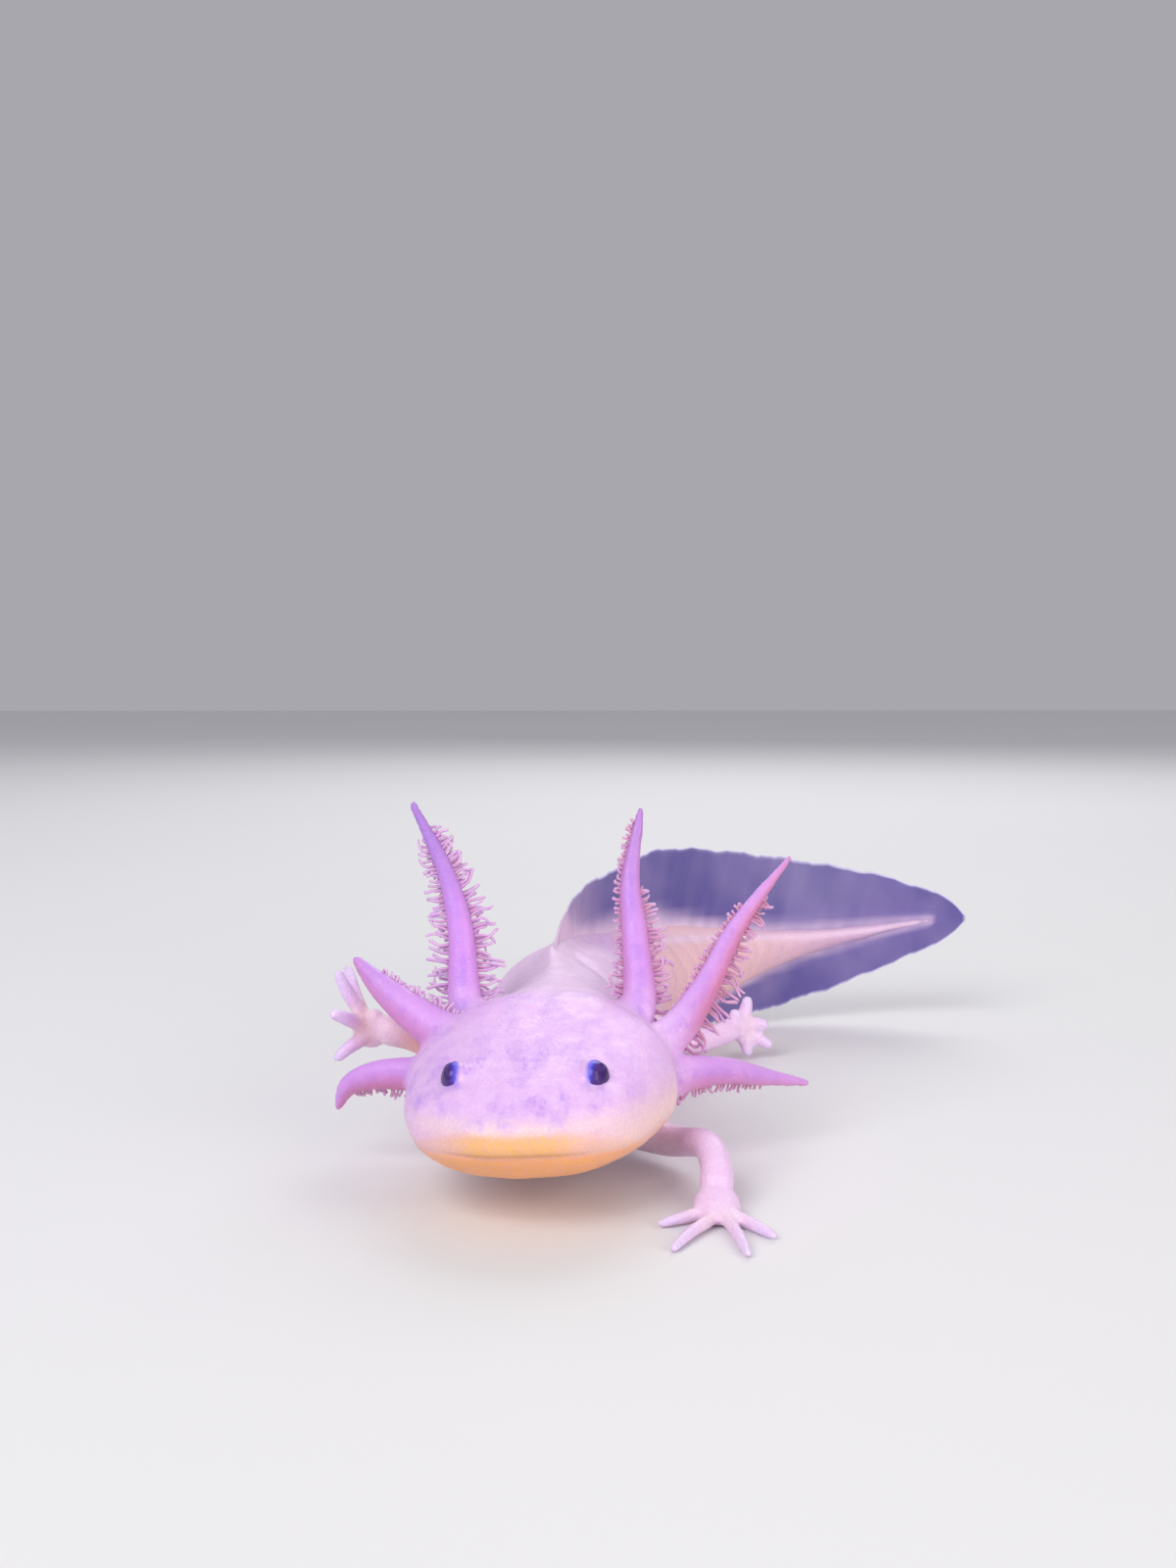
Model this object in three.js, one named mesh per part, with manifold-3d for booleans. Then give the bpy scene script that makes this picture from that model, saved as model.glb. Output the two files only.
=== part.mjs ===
// A young leucistic axolotl (Ambystoma mexicanum) as a still, life-size model.
// Millimetres, +Z up. The snout points to -Y and the tail curls towards +X, the animal's left.
// The origin is the middle of the flat on the belly, on the floor that the animal rests on.
import * as THREE from "three";
import { LoftGeometry } from "three/addons/geometries/LoftGeometry.js";
import { mergeVertices } from "three/addons/utils/BufferGeometryUtils.js";
import Module from "manifold-3d";

const wasm = await Module();
wasm.setup();

// ---------------------------------------------------------------- driving dimensions
const GAP = 0.32; // between neighbouring pieces
const BODY_LENGTH = 126.6; // snout to tail tip, along the spine
const FLOOR = 0;
const HEAD_ROLL = THREE.MathUtils.degToRad(2.2); // the right cheek hangs a little lower
// The snout's tip height, and how far back it is rounded at its sides, above and below.
const SNOUT = { tip: 9.3, roundSides: 6.2, roundAbove: 1.2, roundBelow: 2.8 };
// The eye's place along the head and round its section, and the way it faces: to its side, forwards and up.
// The eyeball and the swelling round it both lie on that line, so far behind the eye's rim.
const EYE = { at: 7.65, angle: 56.2, raise: 0.1, facing: [0.6, 0.55, 0.55] };
const EYEBALL = { radius: 1.5, depth: 0.5 };
const BROW = { radius: 2.1, depth: 1.6 };
// Heights of the lip line, and the jaw's length.
const MOUTH = { front: 8.3, dip: 7.1, corner: 7.6, jawLength: 19.4 };
const FIN_THICK = { root: 0.9, edge: 0.55, taper: 8 }; // it thins over this height
const DIGIT_THICK = [1.2, 1.1, 1, 0.72]; // from the knuckle to the tip, as shares of the digit's radius
const RING = { body: 24, limb: 8, digit: 5 }; // points round a section
const SPACING = { head: 3.7, body: 4.5, clearance: 3.5, fin: 3.9 }; // between sections along the spine

// The spine's line on the floor, from the snout to the tip of the tail.
const SPINE = new THREE.CatmullRomCurve3(
  [
    [-5.3, -39.8],
    [-2.9, -23.1],
    [-0.9, -12],
    [-0.5, -2],
    [-0.2, 8],
    [1.9, 18.5],
    [8.4, 29.9],
    [19, 39.6],
    [31, 46],
    [44.2, 48.2],
    [58.2, 46],
  ].map(([x, y]) => new THREE.Vector3(x, y, 0)),
  false,
  "centripetal",
);
SPINE.arcLengthDivisions = 600;

// The body at a few places along the spine: half its width, and the heights of its back, its belly and its
// widest line.
const BODY = [
  { at: 0, half: 8.2, top: 10.3, bottom: 6.5, wide: 9.3 },
  { at: 3, half: 9.2, top: 12.2, bottom: 5.0, wide: 9.1 },
  { at: 6, half: 10.7, top: 13.6, bottom: 4.2, wide: 9.0 },
  { at: 10, half: 12.3, top: 14.9, bottom: 3.7, wide: 9.0 },
  { at: 14, half: 13.3, top: 16.2, bottom: 3.4, wide: 9.2 },
  { at: 17.5, half: 13.7, top: 17.3, bottom: 3.1, wide: 9.4 },
  { at: 20.5, half: 13.2, top: 18.0, bottom: 2.7, wide: 9.5 },
  { at: 23.5, half: 11.5, top: 18.3, bottom: 2.2, wide: 9.4 },
  { at: 27, half: 9.7, top: 18.1, bottom: 1.2, wide: 9.0 },
  { at: 32, half: 9.1, top: 17.8, bottom: 0.1, wide: 8.5 },
  { at: 40, half: 9.5, top: 17.9, bottom: -0.5, wide: 8.3 },
  { at: 50, half: 9.5, top: 17.9, bottom: -0.5, wide: 8.3 },
  { at: 58, half: 8.5, top: 17.2, bottom: -0.1, wide: 8.3 },
  { at: 65, half: 7.2, top: 16.4, bottom: 0.6, wide: 8.4 },
  { at: 72, half: 5.9, top: 15.8, bottom: 1.5, wide: 8.6 },
  { at: 80, half: 4.5, top: 15.2, bottom: 2.6, wide: 9.1 },
  { at: 88, half: 3.4, top: 14.5, bottom: 4.7, wide: 10.1 },
  { at: 96, half: 2.5, top: 13.9, bottom: 7.6, wide: 11.1 },
  { at: 104, half: 1.75, top: 13.7, bottom: 10.0, wide: 12.0 },
  { at: 112, half: 1.15, top: 14.1, bottom: 12.1, wide: 13.1 },
  { at: 120, half: 0.65, top: 15.2, bottom: 14.2, wide: 14.7 },
  { at: 123.4, half: 0.36, top: 15.6, bottom: 14.9, wide: 15.25 },
];

const CORE_END = BODY.at(-1).at; // past this, the tail is fin alone

// Where the body is parted.
const LENGTHS = [
  ["head", 0, 24.5],
  ["neck", 24.5, 31],
  ["trunk_front", 31, 49],
  ["trunk_rear", 49, 68],
  ["tail_base", 68, 88],
  ["tail_middle", 88, 106],
  ["tail_tip", 106, CORE_END],
];

// Where the fins start along the spine, and where they are parted.
const FIN_STARTS = { top: 36, bottom: 76 };
const FIN_CUTS = { dorsal: 66, upper: 94, lower: 98 };
// The fin's front leans to the animal's right by this much, and comes upright between these distances.
const FIN_LEAN = { across: 1.3, from: 42.5, to: 50.5 };

// Heights of the fins' free edges along the spine.
const FIN_TOP = [
  { at: 33, z: 18.1 },
  { at: 42, z: 19.6 },
  { at: 48, z: 22.3 },
  { at: 55, z: 23.3 },
  { at: 63, z: 24.4 },
  { at: 70, z: 25.4 },
  { at: 75, z: 26.6 },
  { at: 80, z: 27.0 },
  { at: 91, z: 25.7 },
  { at: 99, z: 24.4 },
  { at: 107, z: 23.0 },
  { at: 114, z: 21.6 },
  { at: 121, z: 19.6 },
  { at: 124.6, z: 17.9 },
  { at: BODY_LENGTH, z: 15.7 },
];
const FIN_BOTTOM = [
  { at: 73, z: 1.6 },
  { at: 80, z: 1.2 },
  { at: 88, z: 1.2 },
  { at: 95, z: 1.8 },
  { at: 101, z: 2.9 },
  { at: 108, z: 4.9 },
  { at: 114, z: 7.4 },
  { at: 120, z: 10.2 },
  { at: 124.6, z: 12.9 },
  { at: BODY_LENGTH, z: 15.1 },
];

// ---------------------------------------------------------------- materials
const finish = (color, roughness) => new THREE.MeshStandardMaterial({ color, roughness, metalness: 0 });
const SKIN = finish(0xe6cfe2, 0.42);
const BELLY = finish(0xecc48c, 0.45);
const GILL = finish(0xc890c4, 0.45);
const EYE_FINISH = finish(0x1c1430, 0.12);
const FIN = finish(0xb6aee0, 0.35);

// ---------------------------------------------------------------- helpers
const UP = new THREE.Vector3(0, 0, 1);
const BACKWARDS = new THREE.Vector3(0, 1, 0);

/** A smooth curve through a table's values: returns key at a distance along the spine. */
function smooth(table, key) {
  return (at) => {
    const last = table.length - 1;
    let i = table.findIndex((row) => row.at > at) - 1;
    if (i === -2) i = last - 1;
    if (i < 0) i = 0;
    const slope = (j) => {
      const [a, b] = [table[Math.max(j - 1, 0)], table[Math.min(j + 1, last)]];
      return (b[key] - a[key]) / (b.at - a.at);
    };
    const [p, q] = [table[i], table[i + 1]];
    const width = q.at - p.at;
    const t = THREE.MathUtils.clamp((at - p.at) / width, 0, 1);
    const [m0, m1] = [slope(i) * width, slope(i + 1) * width];
    const [t2, t3] = [t * t, t * t * t];
    return (
      (2 * t3 - 3 * t2 + 1) * p[key] + (t3 - 2 * t2 + t) * m0 + (3 * t2 - 2 * t3) * q[key] + (t3 - t2) * m1
    );
  };
}

const half = smooth(BODY, "half");
const top = smooth(BODY, "top");
const bottom = smooth(BODY, "bottom");
const wide = smooth(BODY, "wide");
const finTop = smooth(FIN_TOP, "z");
const finBottom = smooth(FIN_BOTTOM, "z");

/** 0 at the snout's tip and 1 from reach onwards, along a quarter of an ellipse. */
const rounding = (at, reach) => Math.sqrt(1 - (1 - THREE.MathUtils.clamp(at / reach, 0, 1)) ** 2);

/** The spine's point, direction and left-hand side at a distance from the snout. */
function station(at) {
  const u = THREE.MathUtils.clamp(at / BODY_LENGTH, 0, 1);
  const ahead = SPINE.getTangentAt(u);
  return { point: SPINE.getPointAt(u), ahead, side: new THREE.Vector3(ahead.y, -ahead.x, 0) };
}

/** A point of the body's surface, angle degrees up from the left side, grown outwards by extra. */
function surface(at, angle, extra = 0) {
  const { point, side } = station(at);
  const plan = rounding(at, SNOUT.roundSides);
  const heart = wide(at);
  const [c, s] = [Math.cos(THREE.MathUtils.degToRad(angle)), Math.sin(THREE.MathUtils.degToRad(angle))];
  const profile = rounding(at, s > 0 ? SNOUT.roundAbove : SNOUT.roundBelow);
  const reach = (s > 0 ? top(at) - heart : heart - bottom(at)) * profile + extra;
  const behindHead = THREE.MathUtils.smoothstep(at, 20, 34);
  const square = THREE.MathUtils.lerp(2.35, 2.1, behindHead); // 2 is an ellipse, and more is squarer
  const across = (half(at) * plan + extra) * Math.sign(c) * Math.abs(c) ** (2 / square);
  const upward = reach * Math.sign(s) * Math.abs(s) ** (2 / square);
  const roll = HEAD_ROLL * (1 - behindHead);
  const turned = new THREE.Vector2(across, upward).rotateAround(new THREE.Vector2(), roll);
  return point
    .clone()
    .addScaledVector(side, turned.x)
    .setZ(heart + turned.y);
}

/** A closed mesh as a solid. */
function solid(geometry) {
  const bare = new THREE.BufferGeometry();
  bare.setAttribute("position", geometry.attributes.position);
  bare.setIndex(geometry.index);
  const merged = mergeVertices(bare, 1e-4);
  const vertProperties = merged.attributes.position.array;
  const triVerts = new Uint32Array(merged.index.array);
  return new wasm.Manifold(new wasm.Mesh({ numProp: 3, vertProperties, triVerts }));
}

/** A solid through rings of points, each ring going clockwise as seen from the far end. */
function loft(rings) {
  const turned = rings.map((ring) => [...ring].reverse());
  return solid(new LoftGeometry(turned, { closed: true, capStart: true, capEnd: true }));
}

/** A named mesh of a solid. */
function meshOf(name, shape, material) {
  const { vertProperties, triVerts, numProp } = shape.getMesh();
  const points = new Float32Array((vertProperties.length / numProp) * 3);
  for (let i = 0; i < points.length / 3; i++) {
    points.set(vertProperties.subarray(i * numProp, i * numProp + 3), i * 3);
  }
  const geometry = new THREE.BufferGeometry();
  geometry.setAttribute("position", new THREE.BufferAttribute(points, 3));
  geometry.setIndex(new THREE.BufferAttribute(triVerts, 1));
  geometry.computeVertexNormals();
  const mesh = new THREE.Mesh(geometry, material);
  mesh.name = name;
  return mesh;
}

/** Evenly spaced numbers from a to b, both included. */
const steps = (a, b, count) => Array.from({ length: count + 1 }, (_, i) => a + ((b - a) * i) / count);

const underFloor = solid(new THREE.BoxGeometry(300, 300, 20).translate(0, 0, FLOOR - 10));
const onFloor = (shape) => shape.subtract(underFloor);

/** The largest of a shape's separate bodies, so that no crumb of a cut stays on it. */
const largest = (shape) => shape.decompose().sort((a, b) => b.volume() - a.volume())[0];

// ---------------------------------------------------------------- body
const SNOUT_ROWS = [0.04, 0.3, 0.8, 1.6, 2.8, 4.2]; // sections close together where the snout is rounded

function bodyRing(at, extra) {
  return steps(0, 360 - 360 / RING.body, RING.body - 1).map((angle) => surface(at, angle, extra));
}

/** The body from one distance to another along the spine. */
function bodyLength(from, to) {
  const isHead = from === 0;
  const start = isHead ? SNOUT_ROWS.at(-1) : from + GAP / 2;
  const end = to === CORE_END ? to : to - GAP / 2;
  const count = Math.max(3, Math.round((end - start) / (isHead ? SPACING.head : SPACING.body)));
  const rows = isHead ? [...SNOUT_ROWS.slice(0, -1), ...steps(start, end, count)] : steps(start, end, count);
  return loft(rows.map((at) => bodyRing(at, 0)));
}

/** The whole body grown by the gap, which fins, legs and gills are kept out of. */
const clearance = (() => {
  const start = SNOUT_ROWS.at(-1);
  const count = Math.round((CORE_END - start) / SPACING.clearance);
  const rows = [...SNOUT_ROWS.slice(0, -1), ...steps(start, CORE_END + GAP, count)];
  return loft(rows.map((at) => bodyRing(at, GAP)));
})();

// ---------------------------------------------------------------- head
/** What lies below the lip line and in front of the jaw joint, grown by extra. */
function jawRegion(extra) {
  const front = -6;
  const back = MOUTH.jawLength + front;
  const line = new THREE.Shape();
  line.moveTo(front, 0);
  line.lineTo(back + extra, 0);
  line.quadraticCurveTo(back + 0.4 + extra, 6.2, back - 1.8 + extra, MOUTH.corner + extra);
  line.bezierCurveTo(8, MOUTH.dip - 0.1 + extra, 4, MOUTH.dip + 0.3 + extra, front, MOUTH.front + extra);
  const width = 40;
  const block = new THREE.ExtrudeGeometry(line, { depth: width, bevelEnabled: false, curveSegments: 6 });
  const { point, ahead, side } = station(-front);
  const axes = new THREE.Matrix4().makeBasis(ahead, UP, new THREE.Vector3().crossVectors(ahead, UP));
  const corner = point.clone().addScaledVector(ahead, front).addScaledVector(side, -width / 2);
  const roll = new THREE.Matrix4()
    .makeTranslation(point.x, point.y, SNOUT.tip)
    .multiply(new THREE.Matrix4().makeRotationAxis(ahead, -HEAD_ROLL))
    .multiply(new THREE.Matrix4().makeTranslation(-point.x, -point.y, -SNOUT.tip));
  return solid(block.applyMatrix4(axes.setPosition(corner)).applyMatrix4(roll));
}

/** A ball behind the rim of the eye on one side: side is 1 for the left eye and -1 for the right. */
function eyeRound(side, radius, depth) {
  const rim = surface(EYE.at, side > 0 ? EYE.angle : 180 - EYE.angle, EYE.raise);
  const { ahead, side: left } = station(EYE.at);
  const [outwards, forwards, upwards] = EYE.facing;
  const facing = new THREE.Vector3()
    .addScaledVector(left, outwards * side)
    .addScaledVector(ahead, -forwards)
    .addScaledVector(UP, upwards)
    .normalize();
  const { x, y, z } = rim.addScaledVector(facing, -depth);
  return solid(new THREE.SphereGeometry(radius, 10, 7).translate(x, y, z));
}

/** The eyeball on one side, grown by extra. */
function eyeball(side, extra = 0) {
  return eyeRound(side, EYEBALL.radius + extra, EYEBALL.depth);
}

function headPieces() {
  const whole = bodyLength(...LENGTHS[0].slice(1));
  const skull = whole
    .add(eyeRound(1, BROW.radius, BROW.depth))
    .add(eyeRound(-1, BROW.radius, BROW.depth))
    .subtract(jawRegion(GAP))
    .subtract(eyeball(1, GAP))
    .subtract(eyeball(-1, GAP));
  return [
    meshOf("head", largest(skull), SKIN),
    meshOf("jaw", largest(whole.intersect(jawRegion(0))), BELLY),
    meshOf("eye_left", eyeball(1), EYE_FINISH),
    meshOf("eye_right", eyeball(-1), EYE_FINISH),
  ];
}

function trunkAndTail() {
  return LENGTHS.slice(1).map(([name, from, to]) => meshOf(name, onFloor(bodyLength(from, to)), SKIN));
}

// ---------------------------------------------------------------- fins
/** A thin upright sheet on the spine between two heights, parted from the body. */
function finSheet(stations, low, high) {
  const rings = stations.map((at) => {
    const { point, side } = station(at);
    const [down, up] = [low(at), high(at)];
    const lean = FIN_LEAN.across * (1 - THREE.MathUtils.smoothstep(at, FIN_LEAN.from, FIN_LEAN.to));
    const corner = (across, z) => point.clone().addScaledVector(side, across / 2 - lean).setZ(z);
    const fromRoot = (z) => Math.min(Math.abs(z - wide(at)) / FIN_THICK.taper, 1);
    const thick = (z) => THREE.MathUtils.lerp(FIN_THICK.root, FIN_THICK.edge, fromRoot(z));
    const [foot, edge] = [thick(down), thick(up)];
    return [corner(foot, down), corner(edge, up), corner(-edge, up), corner(-foot, down)];
  });
  return largest(loft(rings).subtract(clearance));
}

/** Distances along the spine for a fin from one place to another, kept clear of the next fin. */
const between = (from, to) => steps(from + GAP / 2, to - GAP / 2, Math.round((to - from) / SPACING.fin));

/** The fins' pieces: the upper rear one also goes round the tip, behind the end of the core. */
function fins() {
  const { dorsal, upper, lower } = FIN_CUTS;
  const round = [...between(upper, CORE_END + GAP), ...steps(CORE_END + 0.5, BODY_LENGTH - 0.1, 3)];
  const roundLow = (at) => (at > CORE_END + GAP ? finBottom(at) : wide(at));
  return [
    ["dorsal_fin", between(FIN_STARTS.top, dorsal), wide, finTop],
    ["tail_fin_upper_front", between(dorsal, upper), wide, finTop],
    ["tail_fin_upper_rear", round, roundLow, finTop],
    ["tail_fin_lower_front", between(FIN_STARTS.bottom, lower), finBottom, wide],
    ["tail_fin_lower_rear", between(lower, CORE_END), finBottom, wide],
  ].map(([name, stations, low, high]) => meshOf(name, finSheet(stations, low, high), FIN));
}

// ---------------------------------------------------------------- limbs
/** A round-ended tube through points, with a radius at each, flattened along flat. */
function tube(points, radii, { ring = RING.limb, rows = 8, flat = UP, squash = 1, blunt = false } = {}) {
  const line = new THREE.CatmullRomCurve3(points.map((p) => new THREE.Vector3(...p)));
  const sizes = radii.map((radius, i) => ({ at: i / (radii.length - 1), radius }));
  const radiusAt = smooth(sizes, "radius");
  const length = line.getLength();
  const sections = steps(0, Math.PI, rows).map((turn) => {
    const t = (1 - Math.cos(turn)) / 2; // closer together at the two ends
    const radius = radiusAt(t);
    const fromEnd = Math.min(t, 1 - t) * length;
    const round = blunt && t < 0.5 ? 1 : Math.max(rounding(fromEnd, radius), 0.3);
    const ahead = line.getTangentAt(t);
    const across = new THREE.Vector3().crossVectors(ahead, flat).normalize();
    const thick = new THREE.Vector3().crossVectors(across, ahead).normalize();
    const middle = line.getPointAt(t);
    return steps(0, 2 * Math.PI * (1 - 1 / ring), ring - 1).map((a) =>
      middle
        .clone()
        .addScaledVector(across, Math.cos(a) * radius * round)
        .addScaledVector(thick, Math.sin(a) * radius * round * squash),
    );
  });
  return loft(sections);
}

/** A thin round plate across a line at a point: what it removes is the gap between two pieces. */
function partingDisc(point, ahead, radius) {
  const disc = new THREE.CylinderGeometry(radius, radius, GAP, 12);
  const turn = new THREE.Quaternion().setFromUnitVectors(BACKWARDS, ahead);
  return solid(disc.applyQuaternion(turn).translate(point.x, point.y, point.z));
}

/** A leg from its root inside the body to its digits, parted at its cuts, which are shares of its line. */
function leg({ nodes, cuts, line, radii, palm, digits, flat }) {
  let whole = tube(line, radii, { rows: 12 });
  whole = whole.add(tube(palm.line, palm.radii, { rows: 5, flat, squash: palm.squash }));
  for (const digit of digits) {
    const thick = DIGIT_THICK.map((share) => share * palm.digit);
    const finger = { ring: RING.digit, rows: 4, flat, blunt: true };
    whole = whole.add(tube([palm.line[1], ...digit], thick, finger));
  }
  whole = onFloor(whole).subtract(clearance);
  const curve = new THREE.CatmullRomCurve3(line.map((p) => new THREE.Vector3(...p)));
  for (const cut of cuts) {
    whole = whole.subtract(partingDisc(curve.getPointAt(cut), curve.getTangentAt(cut), 3.2));
  }
  const root = new THREE.Vector3(...line[0]);
  const distance = (body) => {
    const { min, max } = body.boundingBox();
    return root.distanceTo(new THREE.Vector3(...min).add(new THREE.Vector3(...max)).divideScalar(2));
  };
  const crumb = 0.5;
  const bodies = whole.decompose().filter((body) => body.volume() > crumb);
  bodies.sort((a, b) => distance(a) - distance(b));
  return nodes.map((name, i) => meshOf(name, bodies[i], SKIN));
}

// Each leg's line runs from inside the body to the wrist or ankle, and each digit's from its knuckle to its
// tip.
const LEGS = [
  {
    nodes: ["upper_arm_left", "forearm_left", "hand_left"],
    cuts: [0.6, 0.9],
    line: [
      [5.4, -14, 3.6],
      [10.4, -18.6, 2.9],
      [13.6, -26, 4.6],
      [14.2, -29.4, 3.6],
      [13.9, -32.4, 1.6],
    ],
    radii: [1.9, 1.6, 1.5, 1.55, 1.7],
    palm: {
      line: [[14, -31, 2.2], [13.8, -34.2, 1], [13.7, -36.4, 0.7]],
      radii: [1.9, 2.3, 1.9],
      squash: 0.55,
      digit: 0.55,
    },
    digits: [
      [[12, -34.6, 0.8], [10, -35.6, 0.7], [8, -36.4, 0.4]],
      [[12.8, -36.4, 0.8], [10.8, -39.2, 0.7], [8.9, -42.6, 0.4]],
      [[14.6, -36.8, 0.8], [15.2, -40.4, 0.7], [15.6, -44.2, 0.4]],
      [[15.3, -35.4, 0.8], [17, -37.6, 0.7], [18.6, -39.8, 0.4]],
    ],
    flat: UP,
  },
  {
    nodes: ["upper_arm_right", "forearm_right", "hand_right"],
    cuts: [0.6, 0.84],
    line: [
      [-4.5, -12, 6.6],
      [-9.6, -12, 8.6],
      [-13.6, -11.4, 10.9],
      [-17.4, -10.6, 12.5],
      [-20.6, -10.2, 12.8],
    ],
    radii: [1.9, 1.85, 1.8, 1.8, 1.85],
    palm: {
      line: [[-19.2, -10.3, 12.7], [-21.6, -10, 13], [-23, -9.8, 14]],
      radii: [1.9, 2.4, 2.1],
      squash: 0.5,
      digit: 0.7,
    },
    digits: [
      [[-22.8, -9.8, 15], [-24.1, -9.8, 17.1], [-25.1, -9.8, 19.3]],
      [[-22.6, -8.8, 14.6], [-23.8, -6.2, 16.6], [-24.7, -3.8, 18.5]],
      [[-22.8, -11.2, 13.7], [-24, -13.2, 14.8], [-25, -15, 15.6]],
      [[-22.2, -10.8, 12], [-23.8, -11.6, 10.9], [-25.1, -12.2, 9.8]],
    ],
    flat: new THREE.Vector3(0.25, 1, 0).normalize(),
  },
  {
    nodes: ["thigh_left", "shin_left", "foot_left"],
    cuts: [0.5, 0.82],
    line: [
      [6.4, 22.8, 6],
      [12, 19.8, 4.9],
      [16.2, 20.8, 3.6],
      [19.8, 23.2, 3.8],
      [22.4, 25.3, 4.3],
    ],
    radii: [2.3, 2.2, 1.75, 1.5, 1.6],
    palm: {
      line: [[21.6, 24.6, 4.2], [23.2, 25.6, 4.3], [24.4, 26, 4]],
      radii: [1.6, 2.5, 2.1],
      squash: 0.55,
      digit: 0.8,
    },
    digits: [
      [[22.8, 25.2, 5.2], [22.3, 24.7, 6.1], [21.8, 24.2, 6.9]],
      [[23.5, 25.8, 5.4], [23.9, 26, 6.9], [24.1, 26, 8.5]],
      [[24.4, 26, 4.6], [25.7, 26.1, 4.6], [27, 26.1, 4.4]],
      [[24.3, 26, 3.4], [25.9, 26, 2.4], [27.5, 26, 1.6]],
      [[23.6, 25.7, 3.2], [23.9, 25.5, 1.8], [24.2, 25.2, 0.42]],
    ],
    flat: new THREE.Vector3(-0.3, 1, 0).normalize(),
  },
  {
    nodes: ["thigh_right", "shin_right", "foot_right"],
    cuts: [0.46, 0.88],
    line: [
      [1.2, 26.2, 6.4],
      [-4.4, 27, 6.6],
      [-8, 25, 5.6],
      [-9.9, 22, 3.4],
      [-10.8, 19.8, 1.5],
    ],
    radii: [2.3, 2.1, 1.75, 1.5, 1.6],
    palm: {
      line: [[-10.4, 20.8, 2], [-11.2, 18.8, 0.95], [-11.6, 17.2, 0.7]],
      radii: [1.6, 2.3, 1.9],
      squash: 0.5,
      digit: 0.6,
    },
    digits: [
      [[-12.4, 19, 0.8], [-14.4, 19.4, 0.7], [-16.2, 19.6, 0.42]],
      [[-12.6, 18.2, 0.8], [-14.8, 17.2, 0.7], [-16.9, 16.2, 0.42]],
      [[-12.2, 17.4, 0.8], [-13.6, 15.4, 0.7], [-15.1, 13.2, 0.42]],
      [[-11.5, 17.1, 0.8], [-11.8, 14.9, 0.7], [-12.1, 12.4, 0.42]],
      [[-10.6, 17.7, 0.8], [-9.6, 16, 0.7], [-8.9, 14.2, 0.42]],
    ],
    flat: UP,
  },
];

// ---------------------------------------------------------------- gills
// Each gill is a tapering stalk with a comb of filaments along both edges. The line runs from inside the head
// to the tip. The fringe gives the filaments' length on the animal's left and right of the stalk, near the
// stalk's base and near its tip.
const GILLS = [
  {
    name: "gill_right_upper",
    line: [
      [-8.6, -18, 12],
      [-10.8, -14.2, 16.2],
      [-11.6, -11.4, 24.4],
      [-13.2, -9.6, 29.8],
      [-17, -8, 37.4],
    ],
    radii: [1.75, 1.6, 1.38, 0.92, 0.42],
    fringe: { left: [3.4, 0.5], right: [2.5, 0.3] },
  },
  {
    name: "gill_right_middle",
    line: [
      [-8.6, -20.6, 12.2],
      [-14, -17.6, 14.6],
      [-18.2, -15.4, 17.2],
      [-20.8, -13.8, 19.2],
      [-22.9, -12.4, 21.2],
    ],
    radii: [2.2, 2.2, 1.95, 1.4, 0.45],
    fringe: { left: [1.2, 0.8], right: [0.3, 0.3] },
  },
  {
    name: "gill_right_lower",
    line: [
      [-9.8, -20.8, 9.2],
      [-16, -19.4, 10.2],
      [-20.4, -18, 9.7],
      [-22.9, -16.9, 8.4],
      [-24.5, -15, 5.3],
    ],
    radii: [1.95, 1.8, 1.65, 1.2, 0.4],
    fringe: { left: [0.4, 0.3], right: [1.4, 0.8] },
  },
  {
    name: "gill_left_upper",
    line: [
      [5.4, -18.6, 12.4],
      [7.4, -14.8, 16.4],
      [7.2, -10.8, 23.4],
      [6.8, -8.6, 28.6],
      [8.1, -6.4, 36.6],
    ],
    radii: [1.8, 1.62, 1.48, 1.0, 0.4],
    fringe: { left: [3.2, 0.4], right: [2.6, 0.5] },
  },
  {
    name: "gill_left_middle",
    line: [
      [6.6, -20.6, 12],
      [11.2, -17.2, 14.1],
      [14.9, -13.4, 18.4],
      [18.3, -9.8, 23.7],
      [24.9, -5.2, 31],
    ],
    radii: [1.9, 1.65, 1.3, 0.85, 0.38],
    fringe: { left: [3.0, 0.5], right: [0.4, 1.0] },
  },
  {
    name: "gill_left_lower",
    line: [
      [6.2, -21.6, 8.6],
      [11.6, -19.4, 10],
      [16, -16.4, 9.6],
      [20.6, -12.6, 8],
      [26.8, -7.6, 5.8],
    ],
    radii: [2.1, 1.75, 1.45, 0.95, 0.4],
    fringe: { left: [1.6, 0.5], right: [0.3, 0.3] },
  },
];
const COMB = { teeth: 9, from: 0.24, to: 0.9, valley: 0.3, thick: 0.6, behind: 0.15 };
const GILL_DEPTH = 0.8; // a stalk's thickness from front to back, as a share of its width

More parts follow.
